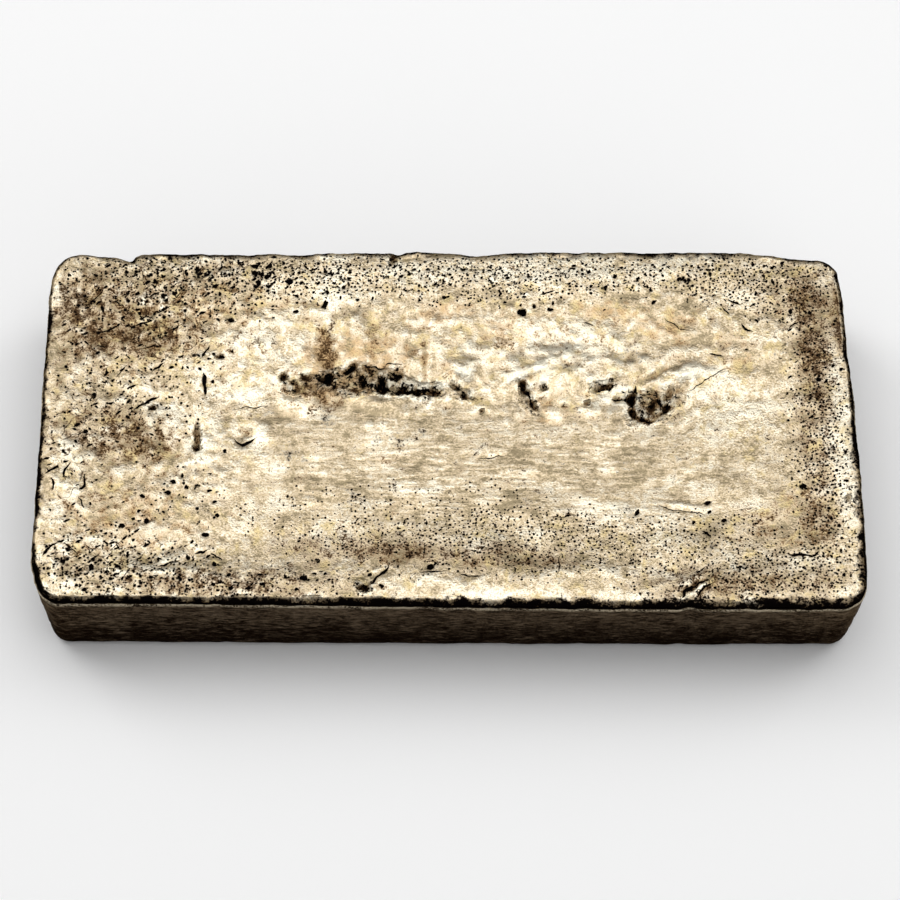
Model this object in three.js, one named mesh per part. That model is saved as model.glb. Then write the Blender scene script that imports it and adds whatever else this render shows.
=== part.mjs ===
// A poured silver bar, lying as it lay in the mould: base down, open pour face up.
// Millimetres, +Z up, +X along the bar, origin in the middle of the base.
// The whole object is one casting, so it is one solid.
import * as THREE from 'three';
import { ImprovedNoise } from 'three/addons/math/ImprovedNoise.js';

// Driving sizes of the casting. The height is that of the pour face's edge
const LENGTH = 166.5;
const WIDTH = 82.7;
const HEIGHT = 23.6;
const CORNER_RADIUS = 6.5;
const DRAFT_DEGREES = 5.8;
const BASE_EDGE_RADIUS = 2.2;

// Edge of the pour face: the metal's own round skin, a slight undercut below it, and the ledge
// where the skin met the mould wall
const MENISCUS_RADIUS = 1.15;
const LEDGE_WIDTH = 0.35;
const LEDGE_UNDERCUT = 0.15;
const LEDGE_DROP = 1.9;

// The outline isn't a true rectangle: the right end leans in towards the back, the front edge
// leans in towards the left, and the back edge sits in beyond two places and in one dip
const RIGHT_LEAN = 1.3;
const FRONT_LEAN = 1.3;
const BACK_LEAN = 0.45;
const BACK_LEFT_X = -25;
const BACK_RIGHT_X = 63;
const BACK_BLEND = 26;
const DIP_DEPTH = 0.8;
const DIP_REACH = 5;
const DIP_X = 6;
const SHARE_AT_BASE = 0.4;

// Places where the metal didn't fill the mould's edge, with how far each reaches and how deep it is
const NICKS = [
  { x: -LENGTH / 2, y: WIDTH / 2, reach: 5, depth: 1.3 },
  { x: -68.5, y: WIDTH / 2, reach: 2.4, depth: 1.3 },
  { x: -72, y: WIDTH / 2, reach: 4, depth: 0.5 },
  { x: -10.5, y: WIDTH / 2, reach: 2, depth: 0.6 },
  { x: -31, y: WIDTH / 2, reach: 3, depth: 0.3 },
  { x: 48, y: -WIDTH / 2, reach: 2.2, depth: 0.6 },
  { x: LENGTH / 2, y: WIDTH / 2, reach: 3, depth: 0.35 },
];

// Level ripples that the rising metal left on the mould walls
const LAP_DEPTH = 0.12;
const LAP_LENGTH = 21;
const LAP_SPACING = 6;

// Pour face, across the bar from the front edge to the back edge: shares of the half width, and
// the height over the edge. It rises to both ends
const SECTION = [
  [-1, 0], [-0.92, 0.15], [-0.84, 0.05], [-0.74, -0.5], [-0.58, -1.0], [-0.24, -1.4], [0.05, -1.6],
  [0.2, -1.5], [0.32, -1.15], [0.46, -0.85], [0.68, -0.35], [0.82, 0.05], [0.94, 0.15], [1, 0],
];
const LEFT_RISE = 26;
const RIGHT_RISE = 15;

// Ripples of the skin: the size of the waves and their height. The left end and the back half
// froze roughest, from these places outwards
const RIPPLES = [
  { pitch: 19, height: 0.25 },
  { pitch: 7, height: 0.4 },
  { pitch: 4.2, height: 0.25 },
];
const CALM_SHARE = 0.35;
const ROUGH_END_X = -43;
const ROUGH_BACK_Y = 6;
const ROUGH_BLEND = 18;
const RIM_BAND = 6;
const RIM_SHARE = 0.25;

// Lumps where the skin froze last and rose, on the pour face: centre, half length, half width,
// turn in degrees and height
const LUMPS = [
  { x: 23.3, y: 10.2, long: 8.5, wide: 7.2, turn: 0, rise: 1.1 },
  { x: 2.8, y: 12, long: 3.8, wide: 3.6, turn: 0, rise: 0.9 },
  { x: 21.4, y: 2.2, long: 3, wide: 2.6, turn: 0, rise: 0.45 },
  { x: 28.5, y: 3.5, long: 3.5, wide: 2.6, turn: 0, rise: 0.4 },
  { x: 34.5, y: 12.5, long: 5, wide: 3.6, turn: 0, rise: 0.65 },
  { x: 47.5, y: 10.8, long: 6, wide: 2.6, turn: 25, rise: 0.75 },
  { x: 13, y: 13.5, long: 4, wide: 3, turn: 20, rise: 0.35 },
  { x: -2, y: 19.5, long: 3, wide: 6, turn: 0, rise: 0.45 },
  { x: -10.5, y: 17.5, long: 2.8, wide: 6.5, turn: -6, rise: 0.6 },
  { x: -18, y: 18.5, long: 3, wide: 6.5, turn: 4, rise: 0.55 },
  { x: -14, y: 4, long: 4, wide: 2, turn: 0, rise: 0.3 },
  { x: -31, y: 4.5, long: 6.5, wide: 3.2, turn: -10, rise: 0.35 },
  { x: -37.5, y: -2, long: 2.6, wide: 3.5, turn: 30, rise: 0.3 },
  { x: -47, y: -2, long: 2.6, wide: 4.5, turn: 0, rise: 0.3 },
  { x: -62, y: 8.5, long: 3.5, wide: 5, turn: 20, rise: 0.3 },
];

// Shrink holes, creases and gashes, the same way, with a depth
const HOLLOWS = [
  { x: -33.4, y: 10.1, long: 2, wide: 1.5, turn: 0, depth: 0.9 },
  { x: -28.5, y: 10.1, long: 2.6, wide: 1.6, turn: 0, depth: 0.9 },
  { x: -24.7, y: 10.5, long: 2.6, wide: 2.3, turn: 0, depth: 1.8 },
  { x: -20.5, y: 12.6, long: 3.2, wide: 1.6, turn: 10, depth: 1.6 },
  { x: -17.2, y: 12.3, long: 2.8, wide: 1.5, turn: 0, depth: 1.2 },
  { x: -19.4, y: 9.6, long: 3, wide: 1.4, turn: 0, depth: 0.8 },
  { x: -13, y: 8, long: 2.4, wide: 1.9, turn: 0, depth: 1.5 },
  { x: -9.7, y: 9, long: 3.2, wide: 2.2, turn: -15, depth: 1.5 },
  { x: -7, y: 7.4, long: 2.6, wide: 1.7, turn: 0, depth: 1.4 },
  { x: -3.3, y: 7.7, long: 2, wide: 1.5, turn: 0, depth: 0.9 },
  { x: -24.6, y: 17.5, long: 2.6, wide: 7, turn: 5, depth: 0.6 },
  { x: 2.3, y: 7.7, long: 2.6, wide: 1.4, turn: -45, depth: 0.9 },
  { x: 16.6, y: 8, long: 1.6, wide: 4.2, turn: 15, depth: 0.9 },
  { x: 33.4, y: 8.4, long: 3, wide: 1.4, turn: 10, depth: 0.8 },
  { x: 38, y: 4.6, long: 1.8, wide: 3.4, turn: 10, depth: 1.5 },
  { x: 41, y: 4.6, long: 2.8, wide: 1.8, turn: 0, depth: 0.9 },
  { x: 43.7, y: 2, long: 2.2, wide: 1.4, turn: 0, depth: 1.1 },
  { x: -51, y: -3.6, long: 1.7, wide: 4.2, turn: -4, depth: 0.9 },
  { x: -40.8, y: -3, long: 2.8, wide: 2.6, turn: 35, depth: 0.7 },
  { x: -49.6, y: 11.6, long: 1.6, wide: 2.8, turn: 0, depth: 0.8 },
  { x: -62.6, y: 2.6, long: 4.6, wide: 1.6, turn: 40, depth: 0.5 },
  { x: 70.8, y: -29.6, long: 4, wide: 1.8, turn: 0, depth: 0.5 },
  { x: -16.7, y: -37, long: 2.2, wide: 1.6, turn: 0, depth: 0.9 },
  { x: -13.5, y: -35.3, long: 3.4, wide: 1.6, turn: 38, depth: 0.7 },
  { x: 49, y: -37.6, long: 4.6, wide: 1.8, turn: 46, depth: 1.1 },
  { x: 21.5, y: -31.3, long: 1.6, wide: 2.6, turn: -20, depth: 0.6 },
  { x: -44.9, y: 24.1, long: 1.5, wide: 1.5, turn: 0, depth: 0.9 },
  { x: -46.3, y: 14.9, long: 1.5, wide: 1.5, turn: 0, depth: 0.8 },
  { x: 15.1, y: 25.7, long: 1.5, wide: 1.5, turn: 0, depth: 0.9 },
];
const MARK_SOFTNESS = 1.5;

// How finely the faces are divided. Rows lie closest together along the chain of shrink holes, and
// only the outermost cells follow the outline's setback
const CELL_ALONG = 1.9;
const CELL_ACROSS = 2.05;
const CHAIN_Y = 8;
const CHAIN_BAND = 13;
const CROWDING = 0.9;
const EDGE_PULL = 4;
const MENISCUS_STEPS = 2;
const WALL_STEPS = 3;
const BASE_EDGE_STEPS = 2;

const PALE_SILVER = 0xd9cba6;
const SILVER_ROUGHNESS = 0.32;
const SILVER_METALNESS = 1;

const MENISCUS_INSET = LEDGE_WIDTH + MENISCUS_RADIUS;
const LEDGE_LEVEL = HEIGHT - LEDGE_DROP;
const DRAFT = Math.tan(THREE.MathUtils.degToRad(DRAFT_DEGREES));
const { smoothstep } = THREE.MathUtils;
const skin = new ImprovedNoise();

// A point of the square from -1 to 1, laid on a round-cornered rectangle that lies `inset` inside
// the bar's widest outline. The square's edge falls on the rectangle's edge.
function planPoint(u, v, inset) {
  const radius = Math.max(CORNER_RADIUS - inset, CORNER_RADIUS / 4);
  const flatX = LENGTH / 2 - inset - radius;
  const flatY = WIDTH / 2 - inset - radius;
  const x = u * (flatX + radius);
  const y = v * (flatY + radius);
  const a = (Math.abs(x) - flatX) / radius;
  const b = (Math.abs(y) - flatY) / radius;
  if (a <= 0 || b <= 0) return new THREE.Vector2(x, y);
  return new THREE.Vector2(
    Math.sign(x) * (flatX + radius * a * Math.sqrt(1 - (b * b) / 2)),
    Math.sign(y) * (flatY + radius * b * Math.sqrt(1 - (a * a) / 2)),
  );
}

// Rises smoothly from 0 to 1 over `width`, half way at `place`
function blend(value, place, width) {
  return smoothstep(value, place - width / 2, place + width / 2);
}

// How far the widest outline runs inside its rectangle at a place of the edge
function setback(u, v) {
  const { x, y } = planPoint(u, v, 0);
  const nearRight = blend(x, LENGTH / 2 - CORNER_RADIUS, CORNER_RADIUS);
  const nearBack = blend(y, WIDTH / 2 - CORNER_RADIUS, CORNER_RADIUS);
  const nearFront = blend(-y, WIDTH / 2 - CORNER_RADIUS, CORNER_RADIUS);
  const backEnds = blend(-x, -BACK_LEFT_X, BACK_BLEND) + blend(x, BACK_RIGHT_X, BACK_BLEND);
  const dip = DIP_DEPTH * Math.exp(-(((x - DIP_X) / DIP_REACH) ** 2));
  let inset = RIGHT_LEAN * nearRight * smoothstep(y, -WIDTH / 4, WIDTH / 2 - CORNER_RADIUS);
  inset += FRONT_LEAN * nearFront * smoothstep(-x, -LENGTH / 3, LENGTH / 2);
  inset += nearBack * (BACK_LEAN * backEnds + dip);
  for (const nick of NICKS) {
    const away = (x - nick.x) ** 2 + (y - nick.y) ** 2;
    inset += nick.depth * Math.exp(-away / nick.reach ** 2);
  }
  return inset;
}

// How much of a lump or hollow a place has, 1 in its middle and 0 at its rim
function mark(form, x, y) {
  const turn = THREE.MathUtils.degToRad(form.turn);
  const dx = x - form.x;
  const dy = y - form.y;
  const along = (dx * Math.cos(turn) + dy * Math.sin(turn)) / form.long;
  const across = (dy * Math.cos(turn) - dx * Math.sin(turn)) / form.wide;
  const reach = along * along + across * across;
  return reach < 1 ? (1 - reach) ** MARK_SOFTNESS : 0;
}

// Height of the plain section at a share of the half width
function sectionHeight(share) {
  const next = SECTION.findIndex(([place]) => place >= share);
  if (next <= 0) return SECTION[Math.max(next, 0)][1];
  const [from, low] = SECTION[next - 1];
  const [to, high] = SECTION[next];
  return THREE.MathUtils.mapLinear(share, from, to, low, high);
}

// Height of the pour face over its edge
function pourFace(x, y) {
  const fromEnd = LENGTH / 2 - Math.abs(x);
  const rise = smoothstep(fromEnd, MENISCUS_INSET, x < 0 ? LEFT_RISE : RIGHT_RISE);
  let height = sectionHeight(y / (WIDTH / 2)) * rise;
  const restless = Math.max(blend(-x, -ROUGH_END_X, ROUGH_BLEND), blend(y, ROUGH_BACK_Y, ROUGH_BLEND));
  const rough = CALM_SHARE + (1 - CALM_SHARE) * restless;
  for (const ripple of RIPPLES) {
    height += ripple.height * rough * skin.noise(x / ripple.pitch, y / ripple.pitch, ripple.pitch);
  }
  for (const lump of LUMPS) height += lump.rise * mark(lump, x, y);
  for (const hollow of HOLLOWS) height -= hollow.depth * mark(hollow, x, y);
  const inward = Math.min(fromEnd, WIDTH / 2 - Math.abs(y));
  return height * (RIM_SHARE + (1 - RIM_SHARE) * smoothstep(inward, MENISCUS_INSET, RIM_BAND));
}

// The side's section, from the pour face's edge down and round to the base: how far each station
// lies inside the widest outline, its height, and how much of the outline's setback and of the
// laps it has
function sideStations() {
  const stations = [];
  for (let i = 1; i <= MENISCUS_STEPS; i++) {
    const turn = (i / MENISCUS_STEPS) * (Math.PI / 2);
    stations.push({
      inset: LEDGE_WIDTH + MENISCUS_RADIUS * (1 - Math.sin(turn)),
      z: HEIGHT - MENISCUS_RADIUS * (1 - Math.cos(turn)),
      setback: 1,
      lap: 0,
    });
  }
  stations.push({ inset: LEDGE_WIDTH + LEDGE_UNDERCUT, z: LEDGE_LEVEL, setback: 1, lap: 0 });
  const wallHeight = LEDGE_LEVEL - BASE_EDGE_RADIUS;
  for (let i = 0; i <= WALL_STEPS; i++) {
    const share = i / WALL_STEPS;
    stations.push({
      inset: share * wallHeight * DRAFT,
      z: LEDGE_LEVEL - share * wallHeight,
      setback: THREE.MathUtils.lerp(1, SHARE_AT_BASE, share),
      lap: 1,
    });
  }
  for (let i = 1; i <= BASE_EDGE_STEPS; i++) {
    const turn = (i / BASE_EDGE_STEPS) * (Math.PI / 2);
    stations.push({
      inset: wallHeight * DRAFT + BASE_EDGE_RADIUS * (1 - Math.cos(turn)),
      z: BASE_EDGE_RADIUS * (1 - Math.sin(turn)),
      setback: SHARE_AT_BASE,
      lap: 1,
    });
  }
  return stations;
}

// Places of the grid's rows from -1 to 1, drawn together along the chain of shrink holes
function rowPlaces(rows) {
  const widths = [];
  for (let j = 0; j < rows; j++) {
    const y = ((2 * (j + 0.5)) / rows - 1) * (WIDTH / 2);
    widths.push(1 / (1 + CROWDING * Math.exp(-(((y - CHAIN_Y) / CHAIN_BAND) ** 2))));
  }
  const total = widths.reduce((sum, width) => sum + width);
  const places = [-1];
  for (const width of widths) places.push(places.at(-1) + (2 * width) / total);
  places[rows] = 1;
  return places;
}

// The casting as one closed surface: the pour face as a grid, its edge carried down ring by ring,
// and the flat base as a fan round its middle
function castBar() {
  const columns = Math.round(LENGTH / CELL_ALONG);
  const rows = Math.round(WIDTH / CELL_ACROSS);
  const columnPlace = (i) => (2 * i) / columns - 1;
  const rowPlace = rowPlaces(rows);
  const positions = [];
  const triangles = [];
  const ring = [];

  for (let j = 0; j <= rows; j++) {
    for (let i = 0; i <= columns; i++) {
      const u = columnPlace(i);
      const v = rowPlace[j];
      const edge = Math.max(Math.abs(u), Math.abs(v));
      const p = planPoint(u, v, MENISCUS_INSET + setback(u, v) * edge ** EDGE_PULL);
      positions.push(p.x, p.y, HEIGHT + (edge < 1 ? pourFace(p.x, p.y) : 0));
    }
  }
  const at = (i, j) => j * (columns + 1) + i;
  for (let j = 0; j < rows; j++) {
    for (let i = 0; i < columns; i++) {
      triangles.push(at(i, j), at(i + 1, j), at(i + 1, j + 1));
      triangles.push(at(i, j), at(i + 1, j + 1), at(i, j + 1));
    }
  }

  for (let i = 0; i < columns; i++) ring.push([i, 0]);
  for (let j = 0; j < rows; j++) ring.push([columns, j]);
  for (let i = columns; i > 0; i--) ring.push([i, rows]);
  for (let j = rows; j > 0; j--) ring.push([0, j]);
  let upper = ring.map(([i, j]) => at(i, j));
  for (const station of sideStations()) {
    const lower = ring.map(([i, j]) => {
      const u = columnPlace(i);
      const v = rowPlace[j];
      const around = planPoint(u, v, 0);
      const ripple = skin.noise(around.x / LAP_LENGTH, around.y / LAP_LENGTH, station.z / LAP_SPACING);
      const lap = LAP_DEPTH * station.lap * (1 + ripple);
      const p = planPoint(u, v, station.inset + station.setback * setback(u, v) + lap);
      positions.push(p.x, p.y, station.z);
      return positions.length / 3 - 1;
    });
    for (let k = 0; k < ring.length; k++) {
      const next = (k + 1) % ring.length;
      triangles.push(upper[k], lower[k], lower[next]);
      triangles.push(upper[k], lower[next], upper[next]);
    }
    upper = lower;
  }

  const middle = positions.length / 3;
  positions.push(0, 0, 0);
  upper.forEach((corner, k) => triangles.push(middle, upper[(k + 1) % ring.length], corner));

  const geometry = new THREE.BufferGeometry();
  geometry.setAttribute('position', new THREE.Float32BufferAttribute(positions, 3));
  geometry.setIndex(triangles);
  geometry.computeBoundingBox();
  const box = geometry.boundingBox;
  geometry.translate(-(box.min.x + box.max.x) / 2, -(box.min.y + box.max.y) / 2, -box.min.z);
  geometry.computeVertexNormals();
  return geometry;
}

const silver = new THREE.MeshStandardMaterial({
  color: PALE_SILVER,
  roughness: SILVER_ROUGHNESS,
  metalness: SILVER_METALNESS,
});

const bar = new THREE.Mesh(castBar(), silver);
bar.name = 'silver_bar';

const part = new THREE.Group();
part.add(bar);

export default part;
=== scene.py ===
"""A poured silver bar on a pale floor, dressed over its CAD solid.

The bar is one casting, so it is one piece. Its pour face is modelled in millimetres, measured from
the middle of the face, and the finish follows zones that the mesh carries as point attributes.
"""

import logging
import math
from dataclasses import dataclass, field
from enum import Enum

import bpy
import numpy as np
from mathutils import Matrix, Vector


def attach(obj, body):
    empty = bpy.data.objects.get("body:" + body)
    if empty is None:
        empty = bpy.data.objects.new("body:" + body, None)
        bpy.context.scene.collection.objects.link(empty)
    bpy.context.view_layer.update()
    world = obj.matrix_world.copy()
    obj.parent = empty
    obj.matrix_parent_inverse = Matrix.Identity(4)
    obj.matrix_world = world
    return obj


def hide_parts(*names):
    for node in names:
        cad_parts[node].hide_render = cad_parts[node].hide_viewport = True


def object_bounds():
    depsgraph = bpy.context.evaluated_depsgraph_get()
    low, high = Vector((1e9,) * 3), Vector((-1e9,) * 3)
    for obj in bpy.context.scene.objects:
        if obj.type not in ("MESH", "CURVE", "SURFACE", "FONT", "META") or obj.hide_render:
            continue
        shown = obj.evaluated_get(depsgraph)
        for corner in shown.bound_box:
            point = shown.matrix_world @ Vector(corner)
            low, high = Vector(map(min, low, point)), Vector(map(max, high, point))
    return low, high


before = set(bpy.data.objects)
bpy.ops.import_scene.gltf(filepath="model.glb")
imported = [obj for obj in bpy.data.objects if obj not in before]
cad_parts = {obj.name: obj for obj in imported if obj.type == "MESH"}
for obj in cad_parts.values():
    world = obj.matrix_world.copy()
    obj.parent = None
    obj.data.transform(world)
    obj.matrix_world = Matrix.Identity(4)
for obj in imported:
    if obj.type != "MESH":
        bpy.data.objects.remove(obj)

CAD_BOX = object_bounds()
MM = 0.001
LOG = logging.getLogger("silver_bar")
Colour = tuple[float, float, float, float]


class Zone(Enum):
    """Point attributes that tell the finish what each place of the surface has, and where highlights and
    shade are painted.
    """

    CRUST = "crust"
    PIT = "pit"
    # Hollows: painted shade, and where amber and brown tarnish gather.
    HOLLOW_SHADE_AND_TARNISH = "hollow"
    CREASE = "crease"
    CREASED = "creased"
    TARNISH = "tarnish"
    AMBER = "amber"
    # Painted highlights, where light falls on the lip, the right rim and the back of the face.
    PAINTED_HIGHLIGHT = "bright"
    SATIN = "satin"
    COARSE_PITS = "coarse_pits"
    FINE_PITS = "fine_pits"
    STROKES = "strokes"
    # A dark band of painted shade round the rim and down its rounded edge.
    EDGE = "edge"
    WALL = "wall"
    LEDGE = "ledge"


@dataclass(frozen=True)
class Value:
    """A shader socket that takes part in Python arithmetic."""

    maker: "NodeMaker"
    socket: bpy.types.NodeSocket

    def maths(self, operation: str, first: object, second: object = 0.0) -> "Value":
        """Add one Math node.

        Args:
            operation: the Math node's operation.
            first: a Value or a number.
            second: a Value or a number.

        Returns:
            The node's result.
        """
        return self.maker.node("ShaderNodeMath", {"operation": operation}, {0: first, 1: second})

    def __add__(self, other: object) -> "Value":
        """Sum."""
        return self.maths("ADD", self, other)

    def __radd__(self, other: object) -> "Value":
        """Sum, turned round."""
        return self.maths("ADD", other, self)

    def __sub__(self, other: object) -> "Value":
        """Difference."""
        return self.maths("SUBTRACT", self, other)

    def __rsub__(self, other: object) -> "Value":
        """Difference, turned round."""
        return self.maths("SUBTRACT", other, self)

    def __mul__(self, other: object) -> "Value":
        """Product."""
        return self.maths("MULTIPLY", self, other)

    def __rmul__(self, other: object) -> "Value":
        """Product, turned round."""
        return self.maths("MULTIPLY", other, self)

    def size(self) -> "Value":
        """The value without its sign."""
        return self.maths("ABSOLUTE", self)

    def most(self, other: object) -> "Value":
        """The larger of two."""
        return self.maths("MAXIMUM", self, other)

    def clamp(self) -> "Value":
        """The value, limited to 0 to 1."""
        return self.maker.node("ShaderNodeClamp", {}, {0: self})

    def output(self, name: str) -> "Value":
        """Another output of the same node."""
        return Value(self.maker, self.socket.node.outputs[name])


@dataclass(frozen=True)
class NodeMaker:
    """Adds nodes to one material's tree."""

    tree: bpy.types.NodeTree

    def node(self, kind: str, settings: dict, inputs: dict, output: int | str = 0) -> Value:
        """Add a node, set it up, and link or fill its inputs.

        Args:
            kind: the node's type.
            settings: its properties.
            inputs: numbers, or Values to link, by socket name or number.
            output: the output to hand back.

        Returns:
            The chosen output.
        """
        made = self.tree.nodes.new(kind)
        for name, setting in settings.items():
            setattr(made, name, setting)
        for name, value in inputs.items():
            if isinstance(value, Value):
                self.tree.links.new(value.socket, made.inputs[name])
            else:
                made.inputs[name].default_value = value
        return Value(self, made.outputs[output])

    def vector(self, operation: str, inputs: dict) -> Value:
        """Add one Vector Math node."""
        return self.node("ShaderNodeVectorMath", {"operation": operation}, inputs)

    def noise(self, place: Value, pitch: float, detail: float = 2.0, rough: float = 0.5) -> Value:
        """Noise from 0 to 1.

        Args:
            place: the coordinates, in millimetres.
            pitch: the size of its largest waves, in millimetres.
            detail: how many finer octaves it has.
            rough: how strong those are.

        Returns:
            The noise.
        """
        inputs = {"Vector": place, "Scale": 1 / pitch, "Detail": detail, "Roughness": rough}
        return self.node("ShaderNodeTexNoise", {}, inputs)

    def step(self, value: object, low: object, high: object) -> Value:
        """Smooth step from 0 at low to 1 at high."""
        inputs = {"Value": value, "From Min": low, "From Max": high}
        return self.node("ShaderNodeMapRange", {"interpolation_type": "SMOOTHSTEP"}, inputs)

    def mix(self, factor: object, first: object, second: object) -> Value:
        """Mix two colours."""
        return self.node("ShaderNodeMix", {"data_type": "RGBA"}, {0: factor, 6: first, 7: second}, 2)

    def zone(self, zone: Zone) -> Value:
        """Read one of the mesh's zones."""
        return self.node("ShaderNodeAttribute", {"attribute_name": zone.value}, {}, "Fac")

    def stretch(self, place: Value, x: float, y: float, z: float) -> Value:
        """Stretch coordinates along the axes."""
        return self.vector("MULTIPLY", {0: place, 1: (x, y, z)})

    def warp(self, place: Value, pitch: float, reach: float) -> Value:
        """Move coordinates about by noise, so that round shapes turn ragged.

        Args:
            place: the coordinates, in millimetres.
            pitch: the size of the noise's waves.
            reach: how far it moves them.

        Returns:
            The moved coordinates.
        """
        drift = self.noise(place, pitch, 2.0).output("Color")
        centred = self.vector("SUBTRACT", {0: drift, 1: (0.5, 0.5, 0.5)})
        return self.vector("ADD", {0: place, 1: self.vector("SCALE", {0: centred, "Scale": 2 * reach})})

    def turned(self, place: Value, degrees: float, scale: tuple) -> Value:
        """Turn coordinates about the vertical and stretch them.

        Args:
            place: the coordinates, in millimetres.
            degrees: how far to turn.
            scale: the stretch along each turned axis.

        Returns:
            The new coordinates.
        """
        inputs = {"Vector": place, "Rotation": (0, 0, math.radians(degrees)), "Scale": scale}
        return self.node("ShaderNodeMapping", {"vector_type": "TEXTURE"}, inputs)

    def spots(self, place: Value, pitch: float, share: Value | float, least: float,
              most: float) -> Value:
        """Scattered roundish spots of many sizes.

        Args:
            place: the coordinates, in millimetres.
            pitch: how far apart they can lie.
            share: the share of the places that has one.
            least: the smallest radius, in pitches.
            most: the largest radius, in pitches.

        Returns:
            1 inside a spot and 0 outside.
        """
        inputs = {"Vector": place, "Scale": 1 / pitch}
        cells = self.node("ShaderNodeTexVoronoi", {"voronoi_dimensions": "2D"}, inputs, "Distance")
        chance = self.node("ShaderNodeSeparateColor", {}, {0: cells.output("Color")}, 0)
        luck = chance.output("Green")
        radius = least + (most - least) * luck
        present = self.step(share - chance, 0.0, 0.04)
        return present * (1 - self.step(cells, radius * 0.65, radius))

    def lines(self, place: Value, pitch: float, width: float) -> Value:
        """Thin curved lines, where a noise crosses its middle.

        Args:
            place: the coordinates, in millimetres.
            pitch: how far apart the lines run.
            width: their half width, as a step of the noise.

        Returns:
            1 on a line and 0 off it.
        """
        off = (self.noise(place, pitch, 1.0, 0.5) - 0.5).size()
        return 1 - self.step(off, width * 0.4, width)


@dataclass(frozen=True)
class Shade:
    """What sways one shade of the pour face: its zone, the noises and the hollows, each by its weight."""

    zone: Zone
    zoned: float
    fine: float
    middling: float
    broad: float
    hollow: float

    def sway(self, maker: NodeMaker, noises: tuple[Value, ...]) -> Value:
        """Add up what sways the shade.

        Args:
            maker: the tree's node maker.
            noises: the fine, middling and broad noise and the hollows, each about 0.

        Returns:
            The sum.
        """
        total = maker.zone(self.zone) * self.zoned
        for noise, weight in zip(noises, (self.fine, self.middling, self.broad, self.hollow)):
            total = total + noise * weight
        return total


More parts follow.
